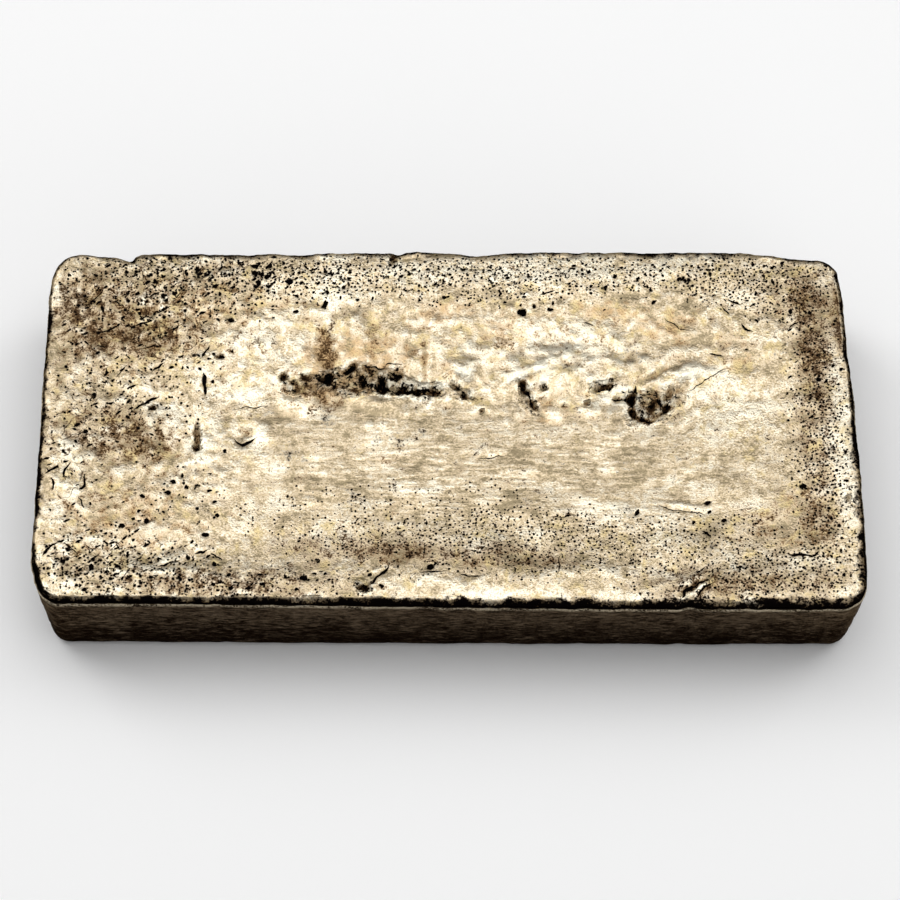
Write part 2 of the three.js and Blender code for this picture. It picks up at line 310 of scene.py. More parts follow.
@dataclass(frozen=True)
class CastSilver:
    """The whole bar's finish: cast silver with tarnish, pits and crust, painted highlights and painted
    shade, and mould walls painted dark as shade.

    Pitches are in millimetres, the depth of the relief is in metres and turns are in degrees. A noise has
    its pitch, octaves and roughness, and a warp its pitch and reach. A span is where something sets in
    and where it is full, and a cover how much of it there is then. A set of pits has its pitch, its
    shares of the coarse and the fine zone and of any place, and its least and largest size in pitches. A
    set of strokes has its warp's pitch, its turn, lengthening, pitch and share.
    """

    bright: Colour = (0.92, 0.85, 0.68, 1.0)
    plain: Colour = (0.62, 0.495, 0.325, 1.0)
    olive: Colour = (0.300, 0.240, 0.145, 1.0)
    gold: Colour = (0.64, 0.50, 0.24, 1.0)
    amber: Colour = (0.52, 0.345, 0.175, 1.0)
    brown: Colour = (0.170, 0.095, 0.040, 1.0)
    umber: Colour = (0.036, 0.018, 0.008, 1.0)
    black: Colour = (0.003, 0.002, 0.002, 1.0)
    # The walls' near-black is painted shade.
    wall: Colour = (0.010, 0.006, 0.004, 1.0)
    wall_streak: Colour = (0.165, 0.125, 0.088, 1.0)
    grazing: Colour = (0.40, 0.36, 0.30, 1.0)
    ledge: Colour = (0.60, 0.52, 0.38, 1.0)
    smoothest: float = 0.27
    relief_depth: float = 0.0003
    relief_strength: float = 0.7
    grain_noise: tuple = (0.40, 2.0, 0.60)
    blotch_noise: tuple = (1.8, 4.0, 0.62)
    cloud_noise: tuple = (8.0, 4.0, 0.60)
    pale_noise: tuple = (5.5, 5.0, 0.62)
    yellow_noise: tuple = (3.4, 3.0, 0.60)
    flow_noise: tuple = (0.9, 3.0, 0.50)
    dash_noise: tuple = (0.9, 3.0, 0.60)
    scree_noise: tuple = (0.9, 3.0, 0.70)
    lap_noise: tuple = (0.50, 4.0, 0.75)
    crumb_noise: tuple = (1.1, 3.0, 0.70)
    sway_noise: tuple = (7.0, 3.0, 0.60)
    blotch_warp: tuple = (1.4, 0.45)
    pale_warp: tuple = (3.0, 1.0)
    yellow_warp: tuple = (2.0, 0.6)
    scree_warp: tuple = (0.8, 0.3)
    lap_warp: tuple = (2.0, 0.4)
    ragged_warp: tuple = (0.6, 0.20)
    hairline_warp: tuple = (2.6, 1.1)
    flow_stretch: tuple = (0.22, 1.0, 1.0)
    pale_stretch: tuple = (0.6, 1.0, 1.0)
    lap_stretch: tuple = (0.20, 0.20, 1.0)
    bead_pitch: float = 0.9
    speck_pitch: float = 0.62
    hairline_pitch: float = 3.2
    hairline_width: float = 0.018
    speck_sizes: tuple = (0.30, 0.22, 0.42)
    pit_sets: tuple = ((2.1, 0.35, 0.0, 0.0, 0.12, 0.22), (1.3, 0.50, 0.25, 0.0, 0.12, 0.26),
                       (0.85, 0.30, 0.60, 0.02, 0.14, 0.34))
    stroke_sets: tuple = ((1.6, 30.0, 2.2, 1.3, 0.34), (1.4, -38.0, 2.0, 1.1, 0.26))
    stroke_reach: float = 0.5
    stroke_sizes: tuple = (0.10, 0.28)
    # The light shade lifts the tone in the painted highlights; hollows lower it as painted shade and gather
    # amber and brown tarnish.
    light: Shade = Shade(Zone.PAINTED_HIGHLIGHT, 0.26, 2.1, 1.9, 1.1, -2.0)
    warmth: Shade = Shade(Zone.AMBER, 0.42, 1.2, 2.2, 0.8, 0.8)
    smoke: Shade = Shade(Zone.TARNISH, 0.50, 1.8, 1.8, 0.7, 1.2)
    bright_span: tuple = (-0.12, 0.50)
    olive_span: tuple = (0.0, 0.58)
    gold_span: tuple = (0.52, 0.72)
    amber_span: tuple = (0.16, 0.70)
    brown_span: tuple = (0.20, 0.72)
    umber_span: tuple = (0.56, 0.92)
    streak_span: tuple = (0.50, 0.80)
    ledge_span: tuple = (0.38, 0.58)
    black_edge_shade_span: tuple = (0.55, 0.72)
    edge_shade_span: tuple = (0.22, 0.60)
    pale_span: tuple = (0.52, 0.66)
    dull_span: tuple = (0.48, 0.34)
    lit_span: tuple = (1.0, 19.0)
    scree_span: tuple = (0.05, 0.60)
    scab_span: tuple = (0.72, 0.92)
    crust_span: tuple = (0.05, 0.30)
    rust_span: tuple = (0.25, 0.85)
    rusty_crust_span: tuple = (0.03, 0.25)
    torn_crust_span: tuple = (0.15, 0.60)
    bead_span: tuple = (0.20, 0.40)
    beadless_span: tuple = (1.6, 2.4)
    speckless_span: tuple = (1.7, 2.6)
    pit_span: tuple = (-0.08, 0.10)
    crease_span: tuple = (-0.05, 0.25)
    creased_span: tuple = (0.02, 0.10)
    hairline_span: tuple = (0.50, 0.60)
    pale_cover: float = 0.30
    dull_cover: float = 0.32
    gold_cover: float = 0.75
    amber_cover: float = 0.80
    brown_cover: float = 0.88
    umber_cover: float = 0.90
    ledge_cover: float = 0.90
    crumble: float = 5.0
    scab_share: float = 0.55
    pit_fray: float = 0.6
    crease_fray: float = 0.8
    edge_sway: float = 1.5
    edge_fray: float = 0.9

    def make(self) -> bpy.types.Material:
        """Build the material.

        Returns:
            The finished material.
        """
        material = bpy.data.materials.new("cast_silver_finish")
        material.use_nodes = True
        maker = NodeMaker(material.node_tree)
        metres = maker.node("ShaderNodeTexCoord", {}, {}, "Object")
        place = maker.vector("SCALE", {0: metres, "Scale": 1 / MM})
        grain = maker.noise(place, *self.grain_noise)
        blotch = maker.noise(maker.warp(place, *self.blotch_warp), *self.blotch_noise)
        cloud = maker.noise(place, *self.cloud_noise)
        wall = maker.zone(Zone.WALL)

        skin, stain = self.pour_face(maker, place, grain, blotch, cloud)
        side, streaks = self.walls(maker, place, grain, cloud)
        black, brown = self.holes(maker, place, grain, blotch)
        colour = maker.mix((brown * 0.85).clamp(), skin, self.umber)
        # The walls take their near-black colour, painted shade.
        colour = maker.mix(wall, colour, side)
        colour = maker.mix((black * (1 - wall)).clamp(), colour, self.black)
        rough = self.smoothest + grain * 0.12 + stain * 0.14 + wall * 0.20 + black * 0.25

        along = maker.stretch(place, *self.flow_stretch)
        flow = maker.noise(along, *self.flow_noise)
        satin = maker.zone(Zone.SATIN).clamp()
        relief = blotch * (1.1 - satin * 0.6) + grain * (0.6 - satin * 0.3) + flow * satin * 0.4
        scree = maker.noise(maker.warp(place, *self.scree_warp), *self.scree_noise)
        relief = relief + scree * maker.step(maker.zone(Zone.CRUST), *self.scree_span) * 4.0
        relief = relief * (1 - wall) + streaks * wall * 2.2 - black * (1 - wall) * 1.1 - brown * 0.3
        bump = {"Strength": self.relief_strength, "Distance": self.relief_depth, "Height": relief}
        normal = maker.node("ShaderNodeBump", {}, bump)

        shader = material.node_tree.nodes["Principled BSDF"]
        for name, value in (("Base Color", colour), ("Roughness", rough.clamp()), ("Normal", normal)):
            maker.tree.links.new(value.socket, shader.inputs[name])
        shader.inputs["Metallic"].default_value = 1.0
        shader.inputs["Specular Tint"].default_value = self.grazing
        return material

    def pour_face(self, maker: NodeMaker, place: Value, grain: Value, blotch: Value,
                  cloud: Value) -> tuple[Value, Value]:
        """Colour the pour face: bright and plain silver with painted highlights, the satin middle, amber and
        brown tarnish, and painted shade in the hollows.

        Args:
            maker: the tree's node maker.
            place: coordinates in millimetres.
            grain: the finest noise.
            blotch: noise of about 2 mm.
            cloud: noise of about 8 mm.

        Returns:
            The colour and how stained it is.
        """
        fine, middling = grain - 0.5, blotch - 0.5
        noises = (fine, middling, cloud - 0.5, maker.zone(Zone.HOLLOW_SHADE_AND_TARNISH))
        satin, warm = maker.zone(Zone.SATIN), maker.zone(Zone.AMBER)
        along = maker.stretch(place, *self.flow_stretch)
        dashes = maker.noise(along, *self.dash_noise) - 0.5
        tone = self.light.sway(maker, noises)
        drawn = maker.warp(maker.stretch(place, *self.pale_stretch), *self.pale_warp)
        pale = maker.noise(drawn, *self.pale_noise)
        tone = tone + maker.step(pale, *self.pale_span) * self.pale_cover
        tone = tone - maker.step(pale, *self.dull_span) * self.dull_cover
        tone = tone - satin * 0.03 - fine * satin * 0.3 - middling * satin * 0.1 + dashes * satin * 0.9
        # Bright where the tone is high, painted highlights among it; olive where it is low, painted shade in
        # hollows among it.
        colour = maker.mix(maker.step(tone, *self.bright_span), self.plain, self.bright)
        colour = maker.mix(maker.step(0.0 - tone, *self.olive_span), colour, self.olive)
        yellow = maker.noise(maker.warp(place, *self.yellow_warp), *self.yellow_noise)
        yellow = yellow + warm * 0.05 - satin * 0.05
        colour = maker.mix(maker.step(yellow, *self.gold_span) * self.gold_cover, colour, self.gold)
        amber = maker.step(self.warmth.sway(maker, noises), *self.amber_span)
        colour = maker.mix(amber * self.amber_cover, colour, self.amber)
        smoke = self.smoke.sway(maker, noises)
        brown = maker.step(smoke, *self.brown_span)
        colour = maker.mix(brown * self.brown_cover, colour, self.brown)
        umber = maker.step(smoke, *self.umber_span)
        return maker.mix(umber * self.umber_cover, colour, self.umber), brown

    def walls(self, maker: NodeMaker, place: Value, grain: Value,
              cloud: Value) -> tuple[Value, Value]:
        """Colour the mould walls: painted dark as shade and paler higher up as painted light, with level
        streaks where the metal lapped, and a worn ledge.

        Args:
            maker: the tree's node maker.
            place: coordinates in millimetres.
            grain: the finest noise.
            cloud: noise of about 8 mm.

        Returns:
            The colour and the height of the streaks.
        """
        level = maker.stretch(maker.warp(place, *self.lap_warp), *self.lap_stretch)
        streaks = maker.noise(level, *self.lap_noise)
        height = maker.node("ShaderNodeSeparateXYZ", {}, {0: place}, "Z")
        # Paler higher up the wall and darker towards the foot: painted light and painted shade.
        lit = maker.step(height, *self.lit_span)
        pale = streaks + (cloud - 0.5) * 0.28 + (grain - 0.5) * 0.35 + lit * 0.13
        colour = maker.mix(maker.step(pale, *self.streak_span), self.wall, self.wall_streak)
        worn = maker.zone(Zone.LEDGE) * maker.step(cloud + (grain - 0.5) * 1.2, *self.ledge_span)
        return maker.mix((worn * self.ledge_cover).clamp(), colour, self.ledge), streaks

    def crusted(self, maker: NodeMaker, ragged: Value) -> tuple[Value, Value, Value]:
        """Crumble the crust of the shrink holes, with beads and specks of bare metal in it.

        Args:
            maker: the tree's node maker.
            ragged: warped coordinates in millimetres.

        Returns:
            Where it is black, where it is dark brown, and the noise that crumbles it.
        """
        crust = maker.zone(Zone.CRUST)
        crumble = (maker.noise(ragged, *self.crumb_noise) - 0.5) * self.crumble
        scab = crust * self.scab_share + crumble
        beads = {"Vector": ragged, "Scale": 1 / self.bead_pitch}
        bead = 1 - maker.step(maker.node("ShaderNodeTexVoronoi", {}, beads, "Distance"), *self.bead_span)
        bead = bead * (1 - maker.step(crust, *self.beadless_span))
        specks = maker.spots(ragged, self.speck_pitch, *self.speck_sizes)
        bead = bead.most(specks * (1 - maker.step(crust, *self.speckless_span)))
        black = maker.step(scab, *self.scab_span) * (1 - bead) * maker.step(crust, *self.crust_span)
        brown = maker.step(scab, *self.rust_span) * maker.step(crust, *self.rusty_crust_span) * (1 - bead)
        return black, brown, crumble

    def pitted(self, maker: NodeMaker, place: Value, ragged: Value, grain: Value) -> Value:
        """Find the blow holes and scatter the fine pits and the short strokes.

        Args:
            maker: the tree's node maker.
            place: coordinates in millimetres.
            ragged: the same, warped.
            grain: the finest noise.

        Returns:
            1 in a pit and 0 outside.
        """
        pits = maker.step(maker.zone(Zone.PIT) + (grain - 0.5) * self.pit_fray, *self.pit_span)
        coarse, fine = maker.zone(Zone.COARSE_PITS), maker.zone(Zone.FINE_PITS)
        for pitch, of_coarse, of_fine, anywhere, least, most in self.pit_sets:
            share = coarse * of_coarse + fine * of_fine + anywhere
            pits = pits.most(maker.spots(ragged, pitch, share, least, most))
        strokes = maker.zone(Zone.STROKES)
        for drift, turn, length, pitch, share in self.stroke_sets:
            swaying = maker.warp(place, drift, self.stroke_reach)
            leaning = maker.turned(swaying, turn, (length, 1.0, 1.0))
            pits = pits.most(maker.spots(leaning, pitch, strokes * share, *self.stroke_sizes))
        return pits

    def creased(self, maker: NodeMaker, crumble: Value, grain: Value) -> Value:
        """Find the creases, frayed by the grain and, where there is crust, by its crumbs.

        Args:
            maker: the tree's node maker.
            crumble: the noise that crumbles the crust.
            grain: the finest noise.

        Returns:
            1 in a crease and 0 outside.
        """
        near = maker.zone(Zone.CREASED)
        torn = maker.step(maker.zone(Zone.CRUST), *self.torn_crust_span)
        crease = near - maker.zone(Zone.CREASE).size() + (grain - 0.5) * self.crease_fray
        crease = crease + (crumble * 1.3 - 0.15) * torn
        return maker.step(crease, *self.crease_span) * maker.step(near, *self.creased_span)

    def holes(self, maker: NodeMaker, place: Value, grain: Value,
              blotch: Value) -> tuple[Value, Value]:
        """Find the dark places: crust, blow holes, fine pits, short strokes, creases and the black edge,
        which is painted shade.

        Args:
            maker: the tree's node maker.
            place: coordinates in millimetres.
            grain: the finest noise.
            blotch: noise of about 2 mm.

        Returns:
            Where it is black, and where it is dark brown.
        """
        ragged = maker.warp(place, *self.ragged_warp)
        black, brown, crumble = self.crusted(maker, ragged)
        pits = self.pitted(maker, place, ragged, grain)
        crease = self.creased(maker, crumble, grain)
        strokes = maker.zone(Zone.STROKES)
        swaying = maker.warp(place, *self.hairline_warp)
        hairlines = maker.lines(swaying, self.hairline_pitch, self.hairline_width)
        hairlines = hairlines * maker.step(blotch + strokes * 0.12, *self.hairline_span)
        hairlines = hairlines * (strokes * 1.2 + 0.10).clamp()
        # The rim's band of painted shade: brown at its inner side, black over the rounded edge.
        sway = (maker.noise(place, *self.sway_noise) - 0.5) * self.edge_sway
        fray = (blotch - 0.5) * self.edge_sway + (grain - 0.5) * self.edge_fray
        edge = maker.zone(Zone.EDGE) + sway + fray
        black = black.most(pits).most(crease).most(maker.step(edge, *self.black_edge_shade_span))
        brown = brown.most(maker.step(edge, *self.edge_shade_span)).most(hairlines)
        return black.clamp(), brown.clamp()


@dataclass(frozen=True)
class SkinNoise:
    """Seeded gradient noise over the plan, for the uneven skin of the metal."""

    seed: int
    lattice: int = 128

    def waves(self, x: np.ndarray, y: np.ndarray, pitch: float) -> np.ndarray:
        """One octave.

        Args:
            x: millimetres along the bar.
            y: millimetres across it.
            pitch: the size of the waves.

        Returns:
            Heights from about -1 to 1.
        """
        turns = np.random.default_rng(self.seed).uniform(0, math.tau, (self.lattice, self.lattice))
        px, py = x / pitch + 0.37 * self.seed, y / pitch + 0.61 * self.seed
        ix, iy = np.floor(px).astype(int), np.floor(py).astype(int)
        fx, fy = px - ix, py - iy

        def corner(dx: int, dy: int) -> np.ndarray:
            """The slope of one lattice corner, followed to the point."""
            turn = turns[(ix + dx) % self.lattice, (iy + dy) % self.lattice]
            return np.cos(turn) * (fx - dx) + np.sin(turn) * (fy - dy)

        sx, sy = (t ** 3 * (t * (t * 6 - 15) + 10) for t in (fx, fy))
        low = corner(0, 0) * (1 - sx) + corner(1, 0) * sx
        high = corner(0, 1) * (1 - sx) + corner(1, 1) * sx
        return 1.5 * (low * (1 - sy) + high * sy)

    def layers(self, x: np.ndarray, y: np.ndarray, pitch: float, octaves: int,
               keep: float = 0.5) -> np.ndarray:
        """Several octaves, each half as large and weaker.

        Args:
            x: millimetres along the bar.
            y: millimetres across it.
            pitch: the size of the largest waves.
            octaves: how many there are.
            keep: the strength that each keeps of the one before.

        Returns:
            Heights from about -1 to 1.
        """
        total = np.zeros_like(x)
        for octave in range(octaves):
            layer = SkinNoise(self.seed + 17 * octave)
            total += layer.waves(x, y, pitch / 2 ** octave) * keep ** octave
        return total


@dataclass(frozen=True)
class Mark:
    """An oval place on the pour face, in millimetres from its middle and degrees."""

    x: float
    y: float
    long: float
    wide: float
    turn: float = 0.0
    height: float = 0.0
    strength: float = 0.0

    def spread(self, x: np.ndarray, y: np.ndarray) -> np.ndarray:
        """Distance from the middle, squared.

        Args:
            x: millimetres along the bar.
            y: millimetres across it.

        Returns:
            0 in the middle and 1 at the rim.
        """
        turn = math.radians(self.turn)
        dx, dy = x - self.x, y - self.y
        along = (dx * math.cos(turn) + dy * math.sin(turn)) / self.long
        across = (dy * math.cos(turn) - dx * math.sin(turn)) / self.wide
        return along ** 2 + across ** 2

    def reach(self, x: np.ndarray, y: np.ndarray, power: float = 1.5) -> np.ndarray:
        """How much of the mark a place has.

        Args:
            x: millimetres along the bar.
            y: millimetres across it.
            power: how soft its rim is.

        Returns:
            1 in its middle, falling to 0 at its rim.
        """
        return np.clip(1 - self.spread(x, y), 0, 1) ** power


def marks(rows: tuple) -> list[Mark]:
    """Turn rows of a mark's values into marks."""
    return [Mark(*row) for row in rows]


def finish_oval(x: float, y: float, long: float, wide: float, strength: float,
                 turn: float = 0.0) -> Mark:
    """A mark that changes the finish and not the shape.

    Args:
        x: its middle along the bar.
        y: its middle across it.
        long: half its length.
        wide: half its width.
        strength: how strong it is in its middle.
        turn: how far it is turned, in degrees.

    Returns:
        The mark.
    """
    return Mark(x, y, long, wide, turn, strength=strength)


@dataclass(frozen=True)
class Crease:
    """A thin bowed line in the skin, from one end to the other, in millimetres."""

    x: float
    y: float
    end_x: float
    end_y: float
    width: float
    bow: float = 0.0
    depth: float = 0.09

    def across(self, x: np.ndarray, y: np.ndarray) -> tuple[np.ndarray, np.ndarray]:
        """How far to the side of the line a place lies, and how present the line is there.

        Args:
            x: millimetres along the bar.
            y: millimetres across it.

        Returns:
            The distance to its left, in millimetres, and the presence from 0 to 1.
        """
        run_x, run_y = self.end_x - self.x, self.end_y - self.y
        length = math.hypot(run_x, run_y)
        share = ((x - self.x) * run_x + (y - self.y) * run_y) / length ** 2
        off = ((y - self.y) * run_x - (x - self.x) * run_y) / length
        off = off - self.bow * 4 * share * (1 - share)
        present = soft(1 - np.abs(2 * share - 1), -0.1, 0.5) * soft(np.abs(off), 1.6, 1.1)
        return off, present


@dataclass(frozen=True)
class PourFace:
    """The open face of the pour: its section, lumps, hollows, blow holes, tarnish and painted highlights, in
    millimetres.

    The section and the ends are points of a line: a place and the height or share there. Lumps, crumbs
    (the crumbly ground round the shrink holes) and hollows (the shrink holes) are rows of a Mark's
    values, and creases rows of a Crease's. A single pit is x, y and radius. A gas band is x, y, reach
    along and across, number of pits and largest radius. Each oval of tarnish, of painted highlight or of
    another zone is x, y, half length, half width and strength, and its turn where it has one. Swell,
    unevenness, billows, ripples, blobs and crumble are the heights of the skin's waves, each with its
    pitch. The lively and the calm patch of the skin have where they set in and are full, twice across the
    bar and twice along it.
    """

    section: tuple = ((-42.0, 0.0), (-38.5, 0.15), (-35.0, 0.05), (-31.0, -0.5), (-24.0, -1.0),
                      (-10.0, -1.4), (2.0, -1.6), (8.0, -1.5), (13.0, -1.15), (19.0, -0.85),
                      (28.0, -0.35), (34.0, 0.05), (39.0, 0.15), (42.0, 0.0))
    ends: tuple = ((-84.0, 0.0), (-79.0, 0.15), (-69.0, 0.7), (-56.0, 1.0), (55.0, 1.0), (68.0, 0.9),
                   (73.0, 0.6), (79.0, 0.0), (84.0, 0.0))
    ring_places: int = 6
    ring_reach: float = 1.3
    pit_seed: int = 5
    pit_depth: float = 0.9
    pit_oval: float = 0.85
    pit_margin: float = 2.0
    tear_pitch: float = 2.6
    tear: float = 0.45
    stain_pitch: float = 7.0
    stain_drift: float = 1.6
    crease_ramp: float = 0.25
    left_end: tuple = (-34, -52)
    lively_patch: tuple = (((0, 7), (34, 26)), ((-52, -42), (66, 52)))
    calm_patch: tuple = (((8, 2), (-33, -26)), ((-52, -42), (70, 60)))
    swell: float = 0.20
    swell_pitch: float = 19.0
    unevenness: float = 0.30
    uneven_pitch: float = 5.0
    billows: float = 0.34
    billow_pitch: float = 8.0
    left_billows: float = 0.22
    left_billow_pitch: float = 5.5
    ripples: float = 0.022
    ripple_pitch: float = 2.2
    blobs: float = 0.20
    blob_pitch: float = 2.6
    crumble: float = 0.42
    crumble_pitch: float = 2.0
    lumps: tuple = (
        (23.3, 10.9, 8.5, 7.2, 0, 1.1), (2.8, 12.6, 3.8, 3.6, 0, 0.9), (19, 15, 5, 4, 0, 0.55),
        (13.5, 13, 4, 3.4, 20, 0.6), (25.5, 16.5, 3.6, 3, 0, 0.45), (21.4, 2.9, 3, 2.6, 0, 0.45),
        (28.5, 4.2, 3.5, 2.6, 0, 0.4), (34.5, 13.1, 5, 3.6, 0, 0.65), (47.5, 11.5, 6, 2.6, 25, 0.75),
        (-27.5, -17.5, 2.6, 1.6, 0, 0.14), (-27.5, -10.5, 2.6, 4, 0, -0.16), (-18, 19.2, 3, 6.5, 4, 0.55),
        (-10.5, 18.2, 2.8, 6.5, -6, 0.6), (-2, 20.2, 3, 6, 0, 0.45), (-31, 5.2, 6.5, 3.2, -10, 0.35),
        (-14, 4.8, 4, 1.8, 0, 0.3), (-47, -1.4, 2.4, 4.5, 0, 0.3), (-37.5, -1.4, 2.2, 3.5, 30, 0.3),
        (-62, 9, 3.5, 5, 20, 0.35), (46.2, -39.6, 1.2, 2, -40, 0.5), (-14.9, -33.4, 2.6, 0.7, 38, 0.2),
        (50.2, -36.6, 2.6, 0.6, 42, 0.25), (15, 12, 14, 1.6, 22, 0.35), (47, -18.3, 5.5, 0.6, -10, 0.2),
    )
    crumbs: tuple = (
        (-22.5, 11.2, 6, 2.8, 8, -0.3, 0.85), (-12.5, 10.2, 7.5, 3.2, -14, -0.4, 1.05),
        (-28.5, 9.3, 7.5, 3, 0, -0.3, 0.55), (-18.5, 8.6, 6, 2.2, 0, -0.2, 0.75),
        (-4, 8, 5, 2.4, 0, -0.2, 0.65), (41, 4.6, 5.2, 4.4, 0, -0.5, 0.95),
        (38.5, 1.6, 3.5, 2, 0, -0.2, 0.6), (16, 6.5, 2.2, 5, 20, -0.2, 0.55),
        (31.5, 9.3, 4, 1.6, 15, -0.1, 0.6), (2.5, 8, 4, 1.8, -45, -0.1, 0.5),
        (-16.8, -36.5, 3.2, 2, 10, 0, 0.5), (46.5, 7, 3, 3.5, 0, -0.1, 0.4),
    )
    hollows: tuple = (
        (-33.8, 11.3, 1.2, 1.1, 0, -0.9, 1.7), (-31.6, 10.2, 0.7, 0.6, 0, -0.5, 1.5),
        (-29, 11.3, 1.5, 0.7, 0, -0.8, 1.4), (-24.8, 11.4, 1.8, 1.5, 0, -1.4, 1.5),
        (-20.2, 13.4, 2.4, 1.1, 24, -1.1, 1.4), (-16.4, 13.2, 1.8, 0.7, -30, -0.6, 1.1),
        (-17.6, 10.3, 0.9, 1.9, 0, -1, 1.5), (-13.9, 9.4, 1.6, 2, 20, -1.2, 1.3),
        (-10.4, 11.9, 2, 2.4, 0, -0.4, 0.5), (-9.4, 8.6, 1.9, 1.2, -20, -1.1, 1.3),
        (-5.4, 8, 2.2, 1, -10, -0.8, 1), (-3, 8.2, 1.5, 1.2, 0, -0.9, 1.3),
        (-25, 17.8, 3.2, 7, 8, -0.95, 0), (-4.9, 14.7, 1, 5, 0, -0.35, 0),
        (1.5, 8.9, 2.2, 0.7, -50, -0.5, 0.8), (3.6, 7.2, 1.6, 0.8, -40, -0.9, 1.3),
        (6.8, 3.6, 0.9, 0.7, 0, -0.4, 1.1), (15.3, 9, 0.8, 2.4, 22, -0.9, 1.1),
        (17, 5.2, 0.7, 1.8, 32, -0.8, 0.9), (19.4, 8.6, 0.8, 0.6, 0, -0.4, 1.2),
        (31.6, 9, 2.6, 0.8, 25, -0.6, 0.6), (37.4, 6.8, 1, 1.8, -6, -1, 1.4),
        (35.4, 6.4, 2, 0.5, 0, -0.7, 0.9), (37.5, 3.4, 0.9, 1.5, 20, -1.2, 1),
        (41, 5.2, 3, 2.6, 0, -0.4, 0.2), (44.2, 4.6, 0.7, 1.6, -10, -0.9, 0.9),
        (40.6, 1.5, 1.8, 0.6, -15, -0.7, 1.1), (44.6, 7.4, 0.8, 2, -30, -0.6, 0.7),
        (28, 5.4, 0.6, 0.6, 0, -0.4, 1.2), (-51.1, -2.4, 1.2, 3.8, -4, -0.8, 0.8),
        (-50.8, -5.3, 1.1, 1.1, 0, -0.6, 1.9), (-41.4, -1.7, 2.3, 2.4, 0, -0.55, 0),
        (-60, 4.4, 1, 0.9, 0, -0.7, 2), (-47, 16, 1, 0.7, 0, -0.7, 1.8),
        (-16.8, -36.9, 1.5, 1, 10, -0.9, 2), (-41.1, -39.2, 2, 0.8, 0, -0.4, 1.9),
        (-27.1, -39.2, 2, 0.7, 0, -0.4, 1.6), (-11.4, 38.6, 1, 1.5, 0, -0.7, 1),
        (79.8, -17.4, 1, 0.9, 0, -0.3, 1.2), (41.5, 11.5, 4.5, 1.2, 25, -0.4, 0),
    )
